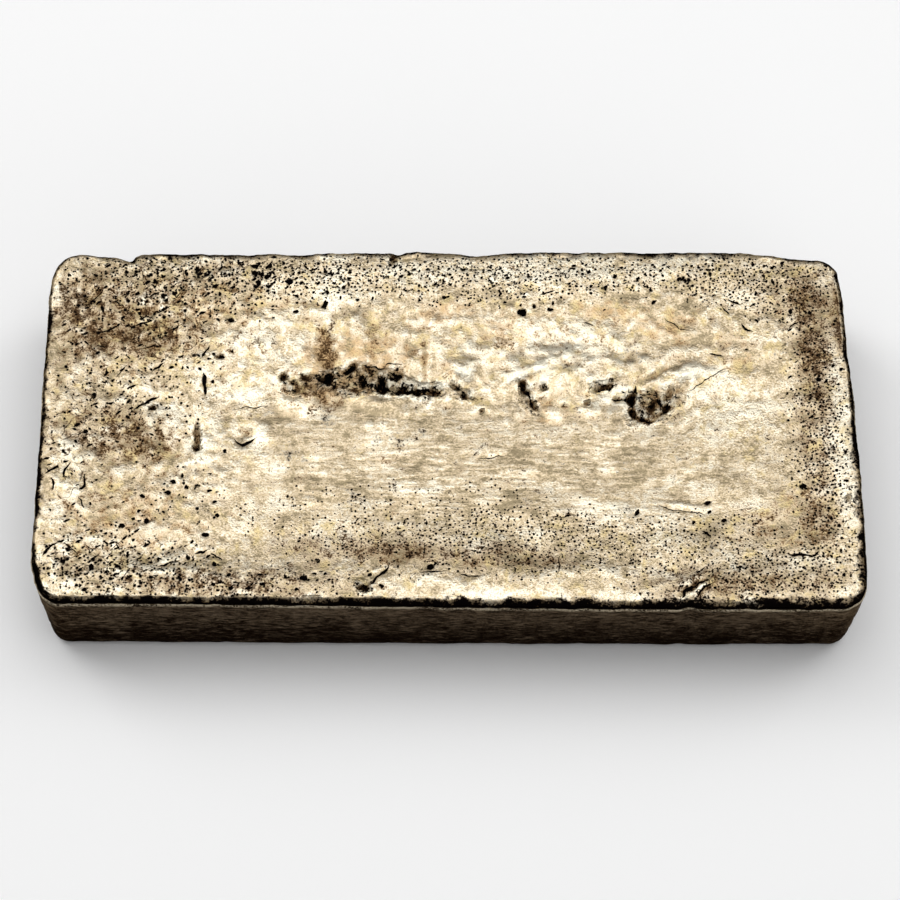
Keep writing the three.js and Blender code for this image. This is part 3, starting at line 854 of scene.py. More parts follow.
    creases: tuple = (
        (-50, 12.4, -49.7, 7.2, 0.40), (-44, -2.4, -38.8, -2.4, 0.36, -1.7, 0.3),
        (-64.1, 3.7, -58.6, 6.9, 0.32, 0.3), (-75.2, 27.2, -71.1, 31.6, 0.16, 0.1),
        (-62.7, 29.3, -59.4, 31.3, 0.19, 0.2), (-56.7, 29.7, -55.6, 31.1, 0.16),
        (-61.1, 26.6, -57.6, 27.4, 0.18, -0.3), (-64.4, 23.3, -60.8, 24.6, 0.21, -0.2),
        (-72.8, 21.2, -67.4, 23.8, 0.18, -0.5), (-72.7, 18.3, -70, 18.6, 0.14),
        (-63, 17.9, -59, 18.4, 0.18, 0.2), (-70.6, 11.5, -69.6, 13.3, 0.22),
        (-68.2, 11.5, -66.1, 13.7, 0.19, -0.2), (-60.6, 12.3, -58.3, 14.4, 0.22, 0.4),
        (-50.6, 15.9, -49.2, 18.8, 0.21), (-22.6, 34.1, -20.4, 33.7, 0.22), (18.9, 30.4, 22, 30.9, 0.22),
        (57.8, 29.4, 60.4, 28, 0.21, -0.2), (56.1, 27.8, 58, 25.8, 0.21, 0.2),
        (60.3, 23.9, 63, 21.3, 0.24, -0.4), (27.7, 23.7, 30, 23, 0.16),
        (53.6, 16.8, 56.7, 16.1, 0.22, -0.1), (48.6, 7.3, 57.4, 13.6, 0.11, 0.4),
        (44, 25.2, 49.6, 21.8, 0.13, -0.3), (30, 8.2, 34.2, 9.9, 0.34, -0.4),
        (14.4, 9.8, 17, 4, 0.32, 0.7), (-14.2, 14.1, -9.3, 14.1, 0.13, 0.2),
        (-80.7, -11.6, -78.5, -9.1, 0.24, -0.3), (-79.7, -12.1, -79.5, -15.4, 0.21, 0.3),
        (-77.3, -12.8, -76.2, -8.8, 0.24, 0.4), (-73.2, -11.3, -73.7, -15.4, 0.19, 0.3),
        (-74.1, -16.7, -72.6, -19.1, 0.18), (-80.6, -30, -78.1, -27, 0.34, 0.3),
        (-50.6, -28.9, -47.5, -28.3, 0.19, -0.2), (-47.4, -29.2, -44.8, -30.8, 0.18, 0.2),
        (-57.4, -31.9, -52.9, -30.6, 0.18), (-76.3, -27.1, -73.9, -29.4, 0.16),
        (-16, -36.6, -11.8, -31.6, 0.34, -0.4), (21.2, -34.4, 22.5, -28.9, 0.12),
        (66.8, -28.8, 73.9, -28.8, 0.27, -1), (41.2, -18.6, 51.6, -20.2, 0.13),
        (19.7, -20.9, 26, -20.5, 0.11), (5.8, -7.5, 11.4, -7, 0.10),
        (45.6, -39.4, 49.3, -35.4, 0.40, 0.3, 0.4), (47.4, -38.2, 51.2, -34.9, 0.24, 0.3, 0.3),
        (50.6, -23.7, 51.9, -26.1, 0.19), (-5.6, -33.6, -1.5, -33.3, 0.16), (2, -33.9, 6.5, -34.1, 0.18),
        (-43.6, 4, -37, 4.4, 0.11, 0.3), (70, 22.6, 72.4, 23.8, 0.18, 0.3),
        (33.2, 5.9, 38.4, 6.4, 0.40, 0.2, 0.3), (38.3, 9.4, 36.8, 2, 0.56, -0.3, 0.5),
        (35.2, 8.2, 38.8, 4.6, 0.42, 0.2, 0.3), (36.9, 2.9, 41.6, 1, 0.36, -0.3, 0.3),
        (42.6, 2.2, 44.9, 5.8, 0.26, -0.3, 0.3), (48.8, -39.2, 52.4, -35.6, 0.22, 0.3, 0.2),
        (38.3, 7.3, 42.6, 7, 0.20, 0.4, 0.2), (42.2, 7.2, 43.2, 3.6, 0.22, 0.4, 0.2),
        (-27.6, 10.9, -22.6, 12.6, 0.26, -0.3, 0.3), (-22.8, 12.4, -18.4, 14.2, 0.36, 0.3, 0.3),
        (-17.6, 14.2, -12.2, 13.6, 0.18, -0.4, 0.2), (-17.9, 12.4, -16.2, 8.6, 0.30, 0.2, 0.3),
        (-14.8, 12, -11.2, 8.2, 0.36, -0.3, 0.4), (-12.4, 12.8, -9, 10.6, 0.30, 0.4, 0.3),
        (-12, 8, -5.6, 8.6, 0.44, -0.3, 0.4), (-6, 8.9, -1.4, 7.6, 0.34, 0.2, 0.3),
        (1.2, 9.7, 3.9, 6.8, 0.26, 0.2, 0.2), (-22, 9.4, -18, 8.8, 0.18, 0.2, 0.1),
    )
    single_pits: tuple = (
        (-44.9, 24.6, 0.75), (-46.6, 16, 0.65), (15.1, 26.2, 0.8), (20.9, 26.7, 0.5), (25.9, 37.2, 0.5),
        (29, 35.6, 0.5), (34.7, 34.7, 0.55), (36, 36.6, 0.45), (39.3, 33.9, 0.5), (-52.7, -14, 0.5),
        (-55.2, -13.1, 0.45), (-50.8, -13.3, 0.55), (-56.4, -15, 0.5), (-47.8, -14.9, 0.5),
        (-47.1, -17.3, 0.4), (-53.6, -11.2, 0.5), (-55.6, -12.6, 0.55), (-47.9, -11, 0.4),
        (-61.4, -16.3, 0.45), (-61.9, -19.3, 0.5), (-60.3, -21.7, 0.55), (-68.4, -24.7, 0.45),
        (-48.4, -24.9, 0.6), (-46, -20.7, 0.45), (-50.1, -21.9, 0.35), (71.2, -13.8, 0.75),
        (71.6, -14.9, 0.3), (51.8, -17.5, 0.6), (52.3, -19.7, 0.45), (48.8, -21.9, 0.5),
        (54.9, -21.5, 0.5), (37.6, -19.8, 0.5), (-3.4, -32.4, 0.7), (-2.6, -31.4, 0.45),
        (-31.5, 26.4, 0.5), (-24.5, 35.5, 0.6), (-33, 33.5, 0.55), (-37.5, 36.8, 0.6), (-40.2, 37.1, 0.65),
        (61, 17.5, 0.4), (-73.3, -1.5, 0.45), (-63, -8.3, 0.45), (44.1, 36.1, 0.45), (52, 36.9, 0.45),
    )
    gas_bands: tuple = (
        (-57, 33, 21, 8, 110, 0.50), (-38, 34, 13, 6, 45, 0.62), (5, 34, 42, 7, 120, 0.48),
        (50, 35, 18, 5, 45, 0.48), (66, 33, 10, 8, 45, 0.40), (-62, 14, 18, 14, 45, 0.48),
        (-64, -31, 18, 8, 70, 0.52), (-46, -34, 34, 3.6, 130, 0.50), (-50, -20, 16, 12, 40, 0.40),
        (76, 4, 5, 36, 70, 0.42), (8, -27, 52, 7, 110, 0.34), (62, -34, 20, 5, 120, 0.36),
        (-70, -12, 9, 12, 25, 0.42),
    )
    stains_and_painted_highlights: tuple = (
        (Zone.TARNISH, (
            (-68, 28, 19, 13, 1.05), (-60, 19, 24, 7, 0.8, 14), (-47, 33, 12, 9, 0.7),
            (-70, -1, 16, 11, 0.95), (-60, -4, 8, 8, 0.75), (-70, -31, 14, 8, 0.5),
            (-68, -17, 12, 10, 0.6), (-25, 17.5, 4, 8.5, 1.15, 5), (-16, 19, 2.2, 7, 0.6),
            (-5, 19, 2.2, 6, 0.6), (6, -29.8, 26, 4.5, 0.95), (74, -4, 5, 40, 0.9), (66, -23, 13, 8, 0.6),
            (70, 30, 9, 9, 0.75), (-25, 8, 14, 4, 0.8, -8), (41, 4, 7, 5, 0.9), (-8, 37, 30, 3, 0.45),
            (17, 8, 2.5, 6, 0.6, 10), (82, 26, 3, 16, 1.3), (77, 20, 8, 20, 0.8), (-20, -28, 20, 5, 1),
            (-77, 22, 8, 18, 0.45), (-42, -36, 32, 5, 1.1), (56, -36, 28, 5, 1.1),
            (-23.5, 5, 8, 2.2, 0.55, 12), (36, 9, 7, 2.5, 0.5, 10),
        )),
        (Zone.AMBER, (
            (-2, 26.5, 8, 4, 0.9), (10, 21.5, 6, 4, 0.6), (32, 26.5, 8, 4, 1.1), (44, 24, 10, 5, 0.9, -10),
            (19, 3.5, 6, 4, 0.7), (60, 17, 8, 6, 0.7), (-44, 28, 14, 7, 0.8), (-18, 15, 14, 8, 0.9),
            (68, -22, 14, 12, 0.7), (70, 30, 9, 8, 0.7), (-66, -22, 14, 12, 0.6), (-62, 22, 20, 14, 0.8),
            (42, 5, 8, 6, 1.1), (-24, 9, 14, 5, 1.1), (-62, -3, 12, 8, 0.8), (-27, 17, 3.6, 8, 1.1),
            (4, 17, 60, 14, 0.55), (-57, -20, 20, 14, 0.45),
        )),
        # Painted highlights on the front lip, the right rim and the lively back of the face.
        (Zone.PAINTED_HIGHLIGHT, (
            (-36, 16, 17, 13, 1.2, 10), (-53, 1, 9, 9, 1), (14, 17, 30, 11, 1.35), (57, 6, 13, 12, 1.1),
            (14, -39.2, 32, 2.4, 1.3), (41, -20, 13, 7, 0.7), (27, 20, 12, 7, 0.8),
            (60, -37.5, 20, 2, 0.2), (-62, -28, 18, 7, 0.8), (-40, -12, 16, 12, 0.5),
            (81, -16, 3, 24, 1.1), (80, 8, 3, 14, 0.9), (-76, -8, 5, 8, 0.7), (-20, 33, 18, 5, 0.6),
            (22, 37, 40, 4, 1.1),
        )),
        (Zone.SATIN, (
            (2, -6, 62, 18, 1.5, 1), (12, -15, 66, 12, 0.9), (-28, 2, 16, 6, 0.7), (40, -12, 26, 12, 0.6),
            (-82.3, 5, 2.5, 36, 2.2), (0, 40.6, 80, 1.7, 2.2),
        )),
        (Zone.COARSE_PITS, (
            (-52, 34, 38, 11, 1), (10, 35, 66, 7, 1), (-70, -30, 22, 12, 0.8), (-64, 14, 22, 24, 0.5),
            (62, 35, 20, 7, 0.9), (77, -8, 5, 34, 0.9), (-54, -16, 12, 9, 0.4),
        )),
        (Zone.FINE_PITS, (
            (75, 0, 7.5, 42, 1.5), (24, -27, 64, 9, 1.4), (-60, -34, 26, 7, 1), (-45, 35, 42, 8, 0.9),
            (-5, -20, 44, 9, 0.6), (66, 33, 18, 10, 1.3), (8, 34, 50, 7, 0.9), (66, -34, 18, 7, 1.3),
            (-38, -37, 26, 4, 0.9), (54, -37, 26, 4, 0.9), (-66, 4, 18, 12, 0.3),
        )),
        (Zone.STROKES, (
            (-76, -8, 7, 22, 0.7), (-62, 22, 24, 14, 0.9), (-55, 37, 28, 6, 1.1), (-68, -31, 17, 9, 1.1),
            (-70, 2, 14, 10, 0.9), (70, 20, 10, 14, 0.4), (81, -22, 4, 18, 0.9), (10, 36, 60, 4, 0.5),
        )),
    )

    def cold_laps(self) -> list[Crease]:
        """The cold laps, slits and scratches that stand out singly."""
        return [Crease(*row) for row in self.creases]

    def pits(self) -> list[Mark]:
        """The blow holes: those that stand out singly, and others strewn over the bands where gas rose.

        Returns:
            Ovals with their depth.
        """
        pits = [Mark(x, y, size, size * self.pit_oval, 0, -self.pit_depth * size)
                for x, y, size in self.single_pits]
        rng = np.random.default_rng(self.pit_seed)
        for x, y, spread_x, spread_y, count, largest in self.gas_bands:
            for _ in range(count):
                size = largest * rng.uniform(0.42, 1) ** 1.3
                stray_x, stray_y = rng.uniform(-1, 1, (2, 2)).mean(1) * 1.25
                pits.append(Mark(x + stray_x * spread_x, y + stray_y * spread_y, size,
                                 size * rng.uniform(0.6, 1), rng.uniform(0, 180), -self.pit_depth * size))
        return pits

    def skin(self, x: np.ndarray, y: np.ndarray) -> np.ndarray:
        """Height over the edge's plane, without the blow holes.

        Args:
            x: millimetres along the bar.
            y: millimetres across it.

        Returns:
            Heights in millimetres.
        """
        drift_x, drift_y = SkinNoise(3).layers(x, y, 9.0, 2), SkinNoise(4).layers(x, y, 9.0, 2)
        dish = np.interp(y + 2.2 * drift_y, *zip(*self.section))
        dish = dish * np.interp(x + 2.0 * drift_x, *zip(*self.ends))
        left = soft(x, *self.left_end)
        lively = soft_patch(x, y, *self.lively_patch)
        calm = soft_patch(x, y, *self.calm_patch)
        rough = np.clip(0.45 + 0.45 * left - 0.30 * calm + 0.35 * lively, 0.1, 1)
        height = dish + self.swell * SkinNoise(8).layers(x, y, self.swell_pitch, 2)
        height += self.unevenness * rough * SkinNoise(12).layers(x, y, self.uneven_pitch, 4)
        billows = np.abs(SkinNoise(21).layers(x, y, self.billow_pitch, 3)) - 0.35
        height += self.billows * lively * billows
        billows = np.abs(SkinNoise(23).layers(x, y, self.left_billow_pitch, 3)) - 0.35
        height += self.left_billows * left * billows
        height += self.ripples * calm * SkinNoise(31).layers(0.3 * x, y, self.ripple_pitch, 3, 0.55)
        bumps = np.clip(SkinNoise(35).waves(x, y, self.blob_pitch) - 0.25, 0, 1)
        height += self.blobs * bumps * calm * soft(y, -12, 2)
        x, y = self.torn(x, y)
        for mark in marks(self.lumps + self.hollows + self.crumbs):
            height += mark.height * mark.reach(x, y)
        crumbly = np.clip(sum(mark.strength * mark.reach(x, y) for mark in marks(self.crumbs)), 0, 1)
        height += self.crumble * crumbly * SkinNoise(77).layers(x, y, self.crumble_pitch, 2, 0.8)
        for crease in self.cold_laps():
            off, present = crease.across(x, y)
            height -= crease.depth * present * np.exp(-(off / (crease.width + self.crease_ramp)) ** 2)
        return height

    def hollowness(self, x: np.ndarray, y: np.ndarray, skin: np.ndarray) -> np.ndarray:
        """How far a place lies under its surroundings.

        Args:
            x: millimetres along the bar.
            y: millimetres across it.
            skin: the skin's height there.

        Returns:
            Millimetres, more than 0 in a hollow and less on a ridge.
        """
        around = np.zeros_like(x)
        for turn in range(self.ring_places):
            angle = math.tau * turn / self.ring_places
            step_x, step_y = self.ring_reach * math.cos(angle), self.ring_reach * math.sin(angle)
            around += self.skin(x + step_x, y + step_y) / self.ring_places
        return around - skin

    def blow_holes(self, x: np.ndarray, y: np.ndarray) -> tuple[np.ndarray, np.ndarray]:
        """Where the blow holes are.

        Args:
            x: millimetres along the bar.
            y: millimetres across it.

        Returns:
            Their height, and how deep inside one a place lies: 1 in its middle and 0 at its rim.
        """
        x, y = self.torn(x, y)
        height, inside = np.zeros_like(x), np.full_like(x, -1.0)
        for pit in self.pits():
            near = np.flatnonzero(np.maximum(np.abs(x - pit.x), np.abs(y - pit.y)) < self.pit_margin)
            spread = pit.spread(x[near], y[near])
            height[near] += pit.height * np.clip(1 - spread, 0, 1)
            inside[near] = np.maximum(inside[near], 1 - np.sqrt(spread))
        return height, inside

    def crease_lines(self, x: np.ndarray, y: np.ndarray) -> tuple[np.ndarray, np.ndarray]:
        """Where the creases are.

        Args:
            x: millimetres along the bar.
            y: millimetres across it.

        Returns:
            How many half widths off the nearest crease a place lies, and how present the crease is.
        """
        x, y = self.torn(x, y)
        offset, presence = np.zeros_like(x), np.zeros_like(x)
        for crease in self.cold_laps():
            off, present = crease.across(x, y)
            nearer = present > presence
            offset[nearer] = off[nearer] / crease.width
            presence[nearer] = present[nearer]
        return offset, presence

    def torn(self, x: np.ndarray, y: np.ndarray) -> tuple[np.ndarray, np.ndarray]:
        """Shift places a little by noise, so that the marks have ragged outlines.

        Args:
            x: millimetres along the bar.
            y: millimetres across it.

        Returns:
            The shifted x and y.
        """
        shift_x, shift_y = (SkinNoise(seed).layers(x, y, self.tear_pitch, 3, 0.6) for seed in (41, 42))
        return x + self.tear * shift_x, y + self.tear * shift_y

    def zones(self, x: np.ndarray, y: np.ndarray) -> dict[Zone, np.ndarray]:
        """How strong each zone of the finish is.

        Args:
            x: millimetres along the bar.
            y: millimetres across it.

        Returns:
            One number a point for each zone of the pour face.
        """
        x = x + self.stain_drift * SkinNoise(51).layers(x, y, self.stain_pitch, 3)
        y = y + self.stain_drift * SkinNoise(52).layers(x, y, self.stain_pitch, 3)
        found = {}
        for zone, rows in self.stains_and_painted_highlights:
            ovals = [finish_oval(*row) for row in rows]
            found[zone] = sum(oval.strength * oval.reach(x, y, 1.0) for oval in ovals)
        return found

    def crust(self, x: np.ndarray, y: np.ndarray) -> np.ndarray:
        """How black the shrink holes are."""
        x, y = self.torn(x, y)
        return sum(mark.strength * mark.reach(x, y, 0.8) for mark in marks(self.hollows + self.crumbs))


def soft(value: np.ndarray, start: float, end: float) -> np.ndarray:
    """Smooth step from 0 at start to 1 at end, either way round.

    Args:
        value: the numbers to place.
        start: where it is still 0.
        end: where it is 1.

    Returns:
        Numbers from 0 to 1.
    """
    share = np.clip((value - start) / (end - start), 0, 1)
    return share * share * (3 - 2 * share)


def soft_patch(x: np.ndarray, y: np.ndarray, across: tuple, along: tuple) -> np.ndarray:
    """How much of a patch with soft sides a place has.

    Args:
        x: millimetres along the bar.
        y: millimetres across it.
        across: where two sides set in and where they are full, across the bar.
        along: the same for the other two sides, along the bar.

    Returns:
        1 inside the patch and 0 outside.
    """
    share = np.ones_like(x)
    for start, end in across:
        share = share * soft(y, start, end)
    for start, end in along:
        share = share * soft(x, start, end)
    return share


@dataclass
class SilverBar:
    """The casting, in millimetres.

    A nick is x, y, reach and depth. The patches are where the base, the pour face, the front, the back,
    the left end and the right end start on the sheet that the skin is laid out on.
    """

    length: float = 166.5
    width: float = 82.7
    height: float = 23.6
    corner_radius: float = 6.5
    draft_degrees: float = 5.8
    base_edge_radius: float = 2.2
    meniscus_radius: float = 1.15
    ledge_width: float = 0.35
    ledge_drop: float = 1.9
    ledge_lip: float = 0.15
    lap_depth: float = 0.12
    peak_ease: float = 0.25
    peak_gap: float = 0.01
    rim_reach: float = 6.0
    rim_relief: float = 0.25
    edge_waver: float = 0.25
    outline_waver: float = 0.15
    foot_wander: float = 0.4
    ring_crowding: float = 1.15
    columns: int = 372
    rows: int = 184
    meniscus_steps: int = 4
    wall_steps: int = 12
    base_edge_steps: int = 4
    sheet: float = 195.0
    base_share: float = 0.36
    patches: tuple = ((1, 165), (1, 1), (1, 85), (1, 112), (1, 139), (86, 139))
    nicks: tuple = ((-83, 41, 5.0, 0.2), (-68.5, 41, 2.2, 1.3), (-72, 41.5, 4.0, 0.5), (-10.5, 41, 1.2, 0.6),
                    (-31, 41.5, 3, 0.3), (48, -41.5, 1.6, 0.5), (82, 40.5, 3.0, 0.35))
    face: PourFace = field(default_factory=PourFace)

    def plan(self, u: np.ndarray, v: np.ndarray, inset: np.ndarray) -> tuple[np.ndarray, np.ndarray]:
        """Lay the square from -1 to 1 on a round-cornered rectangle.

        Args:
            u: place along the square.
            v: place across the square.
            inset: how far inside the widest outline the rectangle lies.

        Returns:
            x and y in millimetres.
        """
        radius = np.maximum(self.corner_radius - inset, self.corner_radius / 4)
        flat_x = self.length / 2 - inset - radius
        flat_y = self.width / 2 - inset - radius
        x, y = u * (flat_x + radius), v * (flat_y + radius)
        a = np.clip((np.abs(x) - flat_x) / radius, 0, None)
        b = np.clip((np.abs(y) - flat_y) / radius, 0, None)
        corner = (a > 0) & (b > 0)
        round_x = np.sign(x) * (flat_x + radius * a * np.sqrt(1 - b * b / 2))
        round_y = np.sign(y) * (flat_y + radius * b * np.sqrt(1 - a * a / 2))
        return np.where(corner, round_x, x), np.where(corner, round_y, y)

    def outline_wander(self, x: np.ndarray, y: np.ndarray) -> np.ndarray:
        """How far the widest outline runs inside its rectangle.

        Args:
            x: millimetres along the bar.
            y: millimetres across it.

        Returns:
            Insets in millimetres, 0 or more.
        """
        right = soft(x, 60, 80) * (0.35 * soft(y, -8, -1) + 0.95 * soft(y, 0, 32))
        front = soft(y, -30, -38) * 1.3 * soft(x, 48, -80)
        back_dip = 0.8 * np.exp(-((x - 6) / 5) ** 2) + 0.45 * soft(x, 56, 70)
        back = soft(y, 30, 38) * (back_dip + 0.45 * soft(x, -5, -45))
        strayed = right + front + back
        for nick_x, nick_y, reach, depth in self.nicks:
            strayed = strayed + depth * np.exp(-((x - nick_x) ** 2 + (y - nick_y) ** 2) / reach ** 2)
        return strayed + self.outline_waver * (1 + SkinNoise(61).layers(x, y, 4.0, 4, 0.6))

    def stations(self) -> list[tuple[float, float, float, float]]:
        """The side's section, from the pour face's edge down and round to the base.

        Returns:
            Inset, height, share of the outline's wander and share of wall for each ring.
        """
        rings = [(self.ledge_width + self.meniscus_radius, self.height, 1.0, 0.0)]
        for step in range(1, self.meniscus_steps + 1):
            turn = step / self.meniscus_steps * math.pi / 2
            inset = self.ledge_width + self.meniscus_radius * (1 - math.sin(turn))
            rings.append((inset, self.height - self.meniscus_radius * (1 - math.cos(turn)), 1.0, 0.5))
        ledge = self.height - self.ledge_drop
        rings.append((self.ledge_width + self.ledge_lip, ledge, 1.0, 0.8))
        slope = math.tan(math.radians(self.draft_degrees))
        wall_height = ledge - self.base_edge_radius
        for step in range(self.wall_steps + 1):
            share = (step / self.wall_steps) ** self.ring_crowding
            stray = 1 - (1 - self.foot_wander) * share
            rings.append((share * wall_height * slope, ledge - share * wall_height, stray, 1.0))
        for step in range(1, self.base_edge_steps + 1):
            turn = step / self.base_edge_steps * math.pi / 2
            inset = wall_height * slope + self.base_edge_radius * (1 - math.cos(turn))
            rings.append((inset, self.base_edge_radius * (1 - math.sin(turn)), self.foot_wander, 1.0))
        return rings

    def build(self) -> bpy.types.Object:
        """Model the bar: a grid for the pour face, its edge drawn down ring by ring, and the base.

        Returns:
            The bar's object.
        """
        bpy.ops.object.select_all(action="DESELECT")
        bpy.ops.mesh.primitive_grid_add(x_subdivisions=self.columns, y_subdivisions=self.rows, size=2)
        bar = bpy.context.object
        bar.name = "poured_bar"
        bpy.ops.object.mode_set(mode="EDIT")
        bpy.ops.mesh.select_mode(type="EDGE")
        bpy.ops.mesh.select_all(action="DESELECT")
        bpy.ops.mesh.select_non_manifold()
        for _ in self.stations()[1:]:
            bpy.ops.mesh.extrude_region_move(TRANSFORM_OT_translate={"value": (0, 0, -1)})
        bpy.ops.mesh.edge_face_add()
        bpy.ops.mesh.select_all(action="SELECT")
        bpy.ops.mesh.normals_make_consistent(inside=False)
        bpy.ops.object.mode_set(mode="OBJECT")
        self.shape(bar.data)
        bpy.ops.object.shade_smooth()
        return bar

    def shape(self, mesh: bpy.types.Mesh) -> None:
        """Move the plain block's points to the casting's surface and note the zones of its finish.

        Args:
            mesh: the block, whose points hold their place in the square and their ring as depth.
        """
        places = np.empty(len(mesh.vertices) * 3)
        mesh.vertices.foreach_get("co", places)
        u, v, depth = places.reshape(-1, 3).T
        ring = np.rint(-depth).astype(int)
        rings = self.stations()
        inset, level, wander, wall = (np.array(column)[ring] for column in zip(*rings))
        top = ring == 0
        edge = np.maximum(np.abs(u), np.abs(v))
        wander = wander * np.where(top, edge ** 8, 1.0)
        nominal_x, nominal_y = self.plan(u, v, np.zeros_like(u))
        laps = self.laps(nominal_x, nominal_y, level) * (wall == 1.0)
        x, y = self.plan(u, v, inset + wander * self.outline_wander(nominal_x, nominal_y) + laps)

        inner = np.minimum(self.length / 2 - np.abs(x), self.width / 2 - np.abs(y))
        rim = soft(inner, self.ledge_width + self.meniscus_radius, self.rim_reach)
        skin = self.face.skin(x, y)
        pit_height, pit = self.face.blow_holes(x, y)
        crease, creased = self.face.crease_lines(x, y)
        relief = self.eased(skin) + pit_height
        relief = relief * (self.rim_relief + (1 - self.rim_relief) * rim)
        z = np.where(top, level + relief * (edge < 1), level)
        ragged = self.edge_waver * SkinNoise(71).layers(nominal_x, nominal_y, 4.0, 3)
        z = z + np.where((edge >= 1) & (ring <= self.meniscus_steps), ragged, 0.0)
        z = np.minimum(z, CAD_BOX[1][2] / MM - self.peak_gap)
        shift_x, shift_y = (x.max() + x.min()) / 2, (y.max() + y.min()) / 2
        shaped = np.stack([x - shift_x, y - shift_y, z], 1) * MM
        mesh.vertices.foreach_set("co", shaped.ravel())

        zones = self.face.zones(x, y)
        for zone, strength in zones.items():
            self.note(mesh, zone, np.where(top, strength, 0.0))
        # Painted shade along the rim: wider at the right end and the front, a little more at the back,
        # darkest where the edge turns down.
        heavy_edge_shade = soft(x, 74, 80) * soft(y, -4, -14) + soft(y, -34, -39) + soft(x, 74, 80) * soft(y, 8, 22)
        painted_edge_shade = np.where(top, soft(inner, 3.2, 1.3) * (0.30 + 0.30 * heavy_edge_shade + 0.10 * (y > 0)), 0.0)
        turned_down = np.clip(ring / self.meniscus_steps, 0, 1)
        painted_edge_shade = painted_edge_shade + np.where((ring > 0) & (wall < 1), 0.46 + 0.6 * turned_down, 0.0)
        self.note(mesh, Zone.EDGE, painted_edge_shade)
        self.note(mesh, Zone.CRUST, np.where(top, self.face.crust(x, y), 0.0))
        self.note(mesh, Zone.HOLLOW_SHADE_AND_TARNISH, np.where(top, self.face.hollowness(x, y, skin), 0.0))
        self.note(mesh, Zone.PIT, np.where(top, pit, -1.0))
        self.note(mesh, Zone.CREASE, crease)
        self.note(mesh, Zone.CREASED, np.where(top, creased, 0.0))
        self.note(mesh, Zone.WALL, np.where(wall == 1.0, 1.0, 0.0))
        self.note(mesh, Zone.LEDGE, np.where(ring == self.meniscus_steps + 2, 1.0, 0.0))
        self.unwrap(mesh, ring, (u, v), (x, y))
        mesh.update()

    def unwrap(self, mesh: bpy.types.Mesh, ring: np.ndarray, square: tuple, plan: tuple) -> None:
        """Lay the skin out flat, so that the export can bake its finish: pour face, four sides and base.

        Args:
            mesh: the shaped mesh.
            ring: each point's ring.
            square: each point's place in the square.
            plan: each point's x and y in millimetres.
        """
        corners = np.empty(len(mesh.loops), dtype=np.int32)
        starts, counts = (np.empty(len(mesh.polygons), dtype=np.int32) for _ in range(2))
        mesh.loops.foreach_get("vertex_index", corners)
        mesh.polygons.foreach_get("loop_start", starts)
        mesh.polygons.foreach_get("loop_total", counts)
        u, v = (values[corners] for values in square)
        middle_u, middle_v = (np.repeat(np.add.reduceat(places, starts) / counts, counts)
                              for places in (u, v))
        deepest = np.repeat(np.maximum.reduceat(ring[corners], starts), counts)
        rings = self.stations()
        steps = [math.dist(one[:2], other[:2]) for one, other in zip(rings, rings[1:])]
        down = np.concatenate([[0.0], np.cumsum(steps)])[ring[corners]]
        half_length, half_width = self.length / 2, self.width / 2
        x, y = plan[0][corners] + half_length, plan[1][corners] + half_width

        base = np.repeat(counts > 4, counts)
        long_side = np.abs(middle_v) > np.abs(middle_u)
        kinds = [base, deepest == 0, long_side & (middle_v < 0), long_side, middle_u < 0]
        across = [(self.length - x) * self.base_share, x, (1 - u) * half_length, (u + 1) * half_length,
                  (v + 1) * half_width]
        up = [y * self.base_share, y, down, down, down]
        patches = list(zip(*self.patches))
        flat_x = np.select(kinds, across, (1 - v) * half_width)
        flat_x = flat_x + np.select(kinds, patches[0][:-1], patches[0][-1])
        flat_y = np.select(kinds, up, down) + np.select(kinds, patches[1][:-1], patches[1][-1])
        layer = mesh.uv_layers.new(name="OFBake")
        layer.data.foreach_set("uv", np.stack([flat_x, flat_y], 1).ravel() / self.sheet)

    def eased(self, relief: np.ndarray) -> np.ndarray:
        """Round the highest places off, so that none stands over the casting's full height."""
        peak = CAD_BOX[1][2] / MM - self.peak_gap - self.height
        over = np.clip(relief - peak + self.peak_ease, 0, None)
        return relief - over + self.peak_ease * np.tanh(over / self.peak_ease)

    def laps(self, x: np.ndarray, y: np.ndarray, level: np.ndarray) -> np.ndarray:
        """Level ripples that the rising metal left on the mould walls.

        Args:
            x: millimetres along the bar.
            y: millimetres across it.
            level: height over the base.

        Returns:
            Insets in millimetres, 0 or more.
        """
        around = np.where(np.abs(x) / self.length > np.abs(y) / self.width, y, x)
        ripple = SkinNoise(91).layers(0.12 * around, level + 0.05 * x, 1.9, 3, 0.6)
        waves = SkinNoise(92).layers(around, level, 14.0, 2)
        return self.lap_depth * (1.2 + ripple + 0.8 * waves)

    def note(self, mesh: bpy.types.Mesh, zone: Zone, values: np.ndarray) -> None:
        """Store one zone's number on each point."""
        attribute = mesh.attributes.new(zone.value, "FLOAT", "POINT")
        attribute.data.foreach_set("value", values.astype(np.float32))

    def dress(self, bar: bpy.types.Object) -> None:
        """Give the bar its finish and its place in the frame."""
        bar.data.materials.clear()
        bar.data.materials.append(CastSilver().make())
        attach(bar, "root")
        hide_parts("silver_bar")


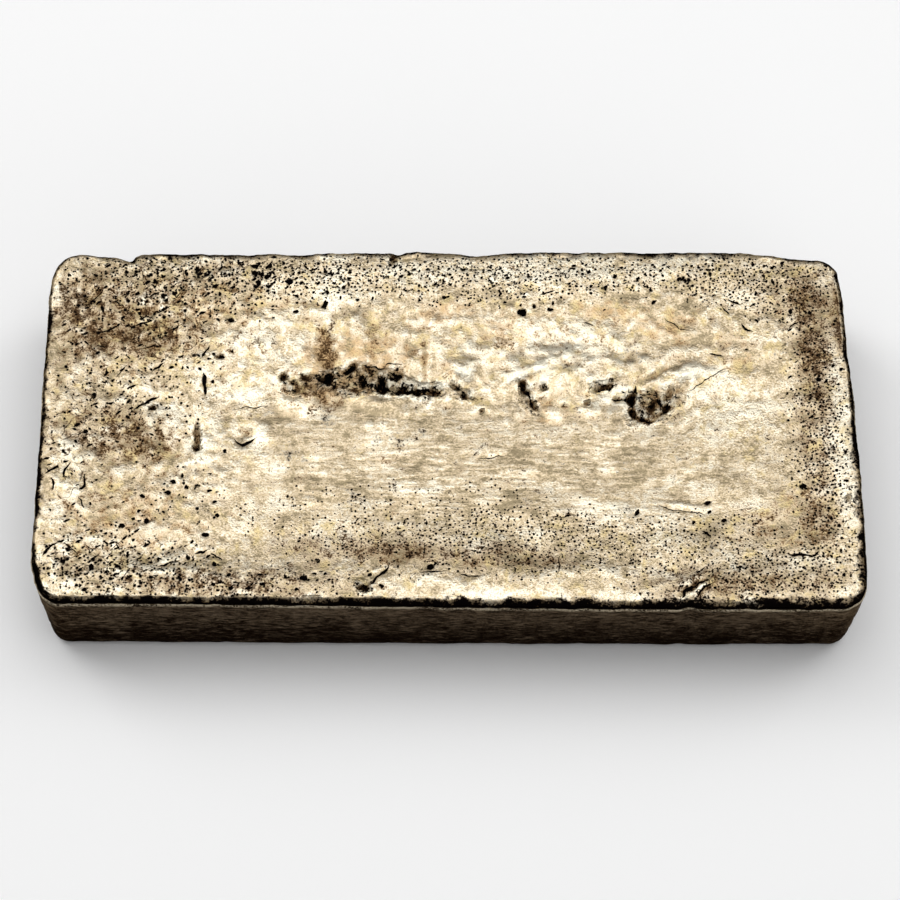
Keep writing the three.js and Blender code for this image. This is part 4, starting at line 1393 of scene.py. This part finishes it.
@dataclass
class Studio:
    """The floor, the lights and the camera, in metres."""

    camera_place: tuple = (0.00025, -0.3041, 0.5814)
    lamps: tuple = (("key_box", (0.05, 0.13, 0.8), (0.95, 0.64), 1.20),
                    ("crest_box", (0.0, 0.04, 0.8), (0.7, 0.40), 0.75),
                    ("left_box", (-0.8, 0.55, 0.8), (0.6, 0.7), 2.8),
                    ("right_box", (0.85, 0.5, 0.8), (0.6, 0.7), 1.6),
                    ("front_box", (1.3, -1.7, 0.6), (2.4, 0.9), 1.1))
    air: float = 0.36
    elevation: float = 61.9
    lens: float = 125.5
    floor_size: float = 8.0
    floor_tone: float = 0.97

    def floor(self) -> None:
        """Lay the pale floor."""
        bpy.ops.object.select_all(action="DESELECT")
        bpy.ops.mesh.primitive_plane_add(size=self.floor_size)
        plane = bpy.context.object
        plane.name = "floor"
        material = bpy.data.materials.new("pale_floor")
        material.use_nodes = True
        shader = material.node_tree.nodes["Principled BSDF"]
        shader.inputs["Base Color"].default_value = (self.floor_tone, self.floor_tone, self.floor_tone, 1)
        shader.inputs["Roughness"].default_value = 0.8
        plane.data.materials.append(material)

    def lamp(self, name: str, place: tuple, size: tuple, radiance: float) -> None:
        """Hang one soft box that faces the bar.

        Args:
            name: the lamp's name.
            place: its middle.
            size: its length and width.
            radiance: how bright its face is.
        """
        data = bpy.data.lights.new(name, "AREA")
        data.shape = "RECTANGLE"
        data.size, data.size_y = size
        data.energy = radiance * size[0] * size[1] * math.pi
        lamp = bpy.data.objects.new(name, data)
        lamp.location = place
        lamp.rotation_euler = (-Vector(place)).to_track_quat("-Z", "Y").to_euler()
        bpy.context.scene.collection.objects.link(lamp)

    def light(self) -> None:
        """Light the bar softly from above and the front, and fill the air with a faint glow."""
        for name, place, size, radiance in self.lamps:
            self.lamp(name, place, size, radiance)
        world = bpy.data.worlds.new("studio_air")
        world.use_nodes = True
        background = world.node_tree.nodes["Background"]
        background.inputs["Color"].default_value = (1, 1, 1, 1)
        background.inputs["Strength"].default_value = self.air
        bpy.context.scene.world = world
        bpy.context.scene.view_settings.view_transform = "Standard"

    def camera(self) -> None:
        """Set the camera at the photograph's viewing angle."""
        data = bpy.data.cameras.new("camera")
        data.lens = self.lens
        data.sensor_width = 36.0
        data.sensor_fit = "HORIZONTAL"
        camera = bpy.data.objects.new("camera", data)
        camera.location = self.camera_place
        camera.rotation_euler = (math.radians(90 - self.elevation), 0, 0)
        bpy.context.scene.collection.objects.link(camera)
        bpy.context.scene.camera = camera


def main() -> None:
    """Build the bar and the studio."""
    logging.basicConfig(level=logging.INFO, format="%(name)s: %(message)s")
    bar = SilverBar()
    piece = bar.build()
    bar.dress(piece)
    LOG.info("%s: %d faces", piece.name, len(piece.data.polygons))
    studio = Studio()
    studio.camera()
    studio.floor()
    studio.light()


if __name__ == "__main__":
    main()
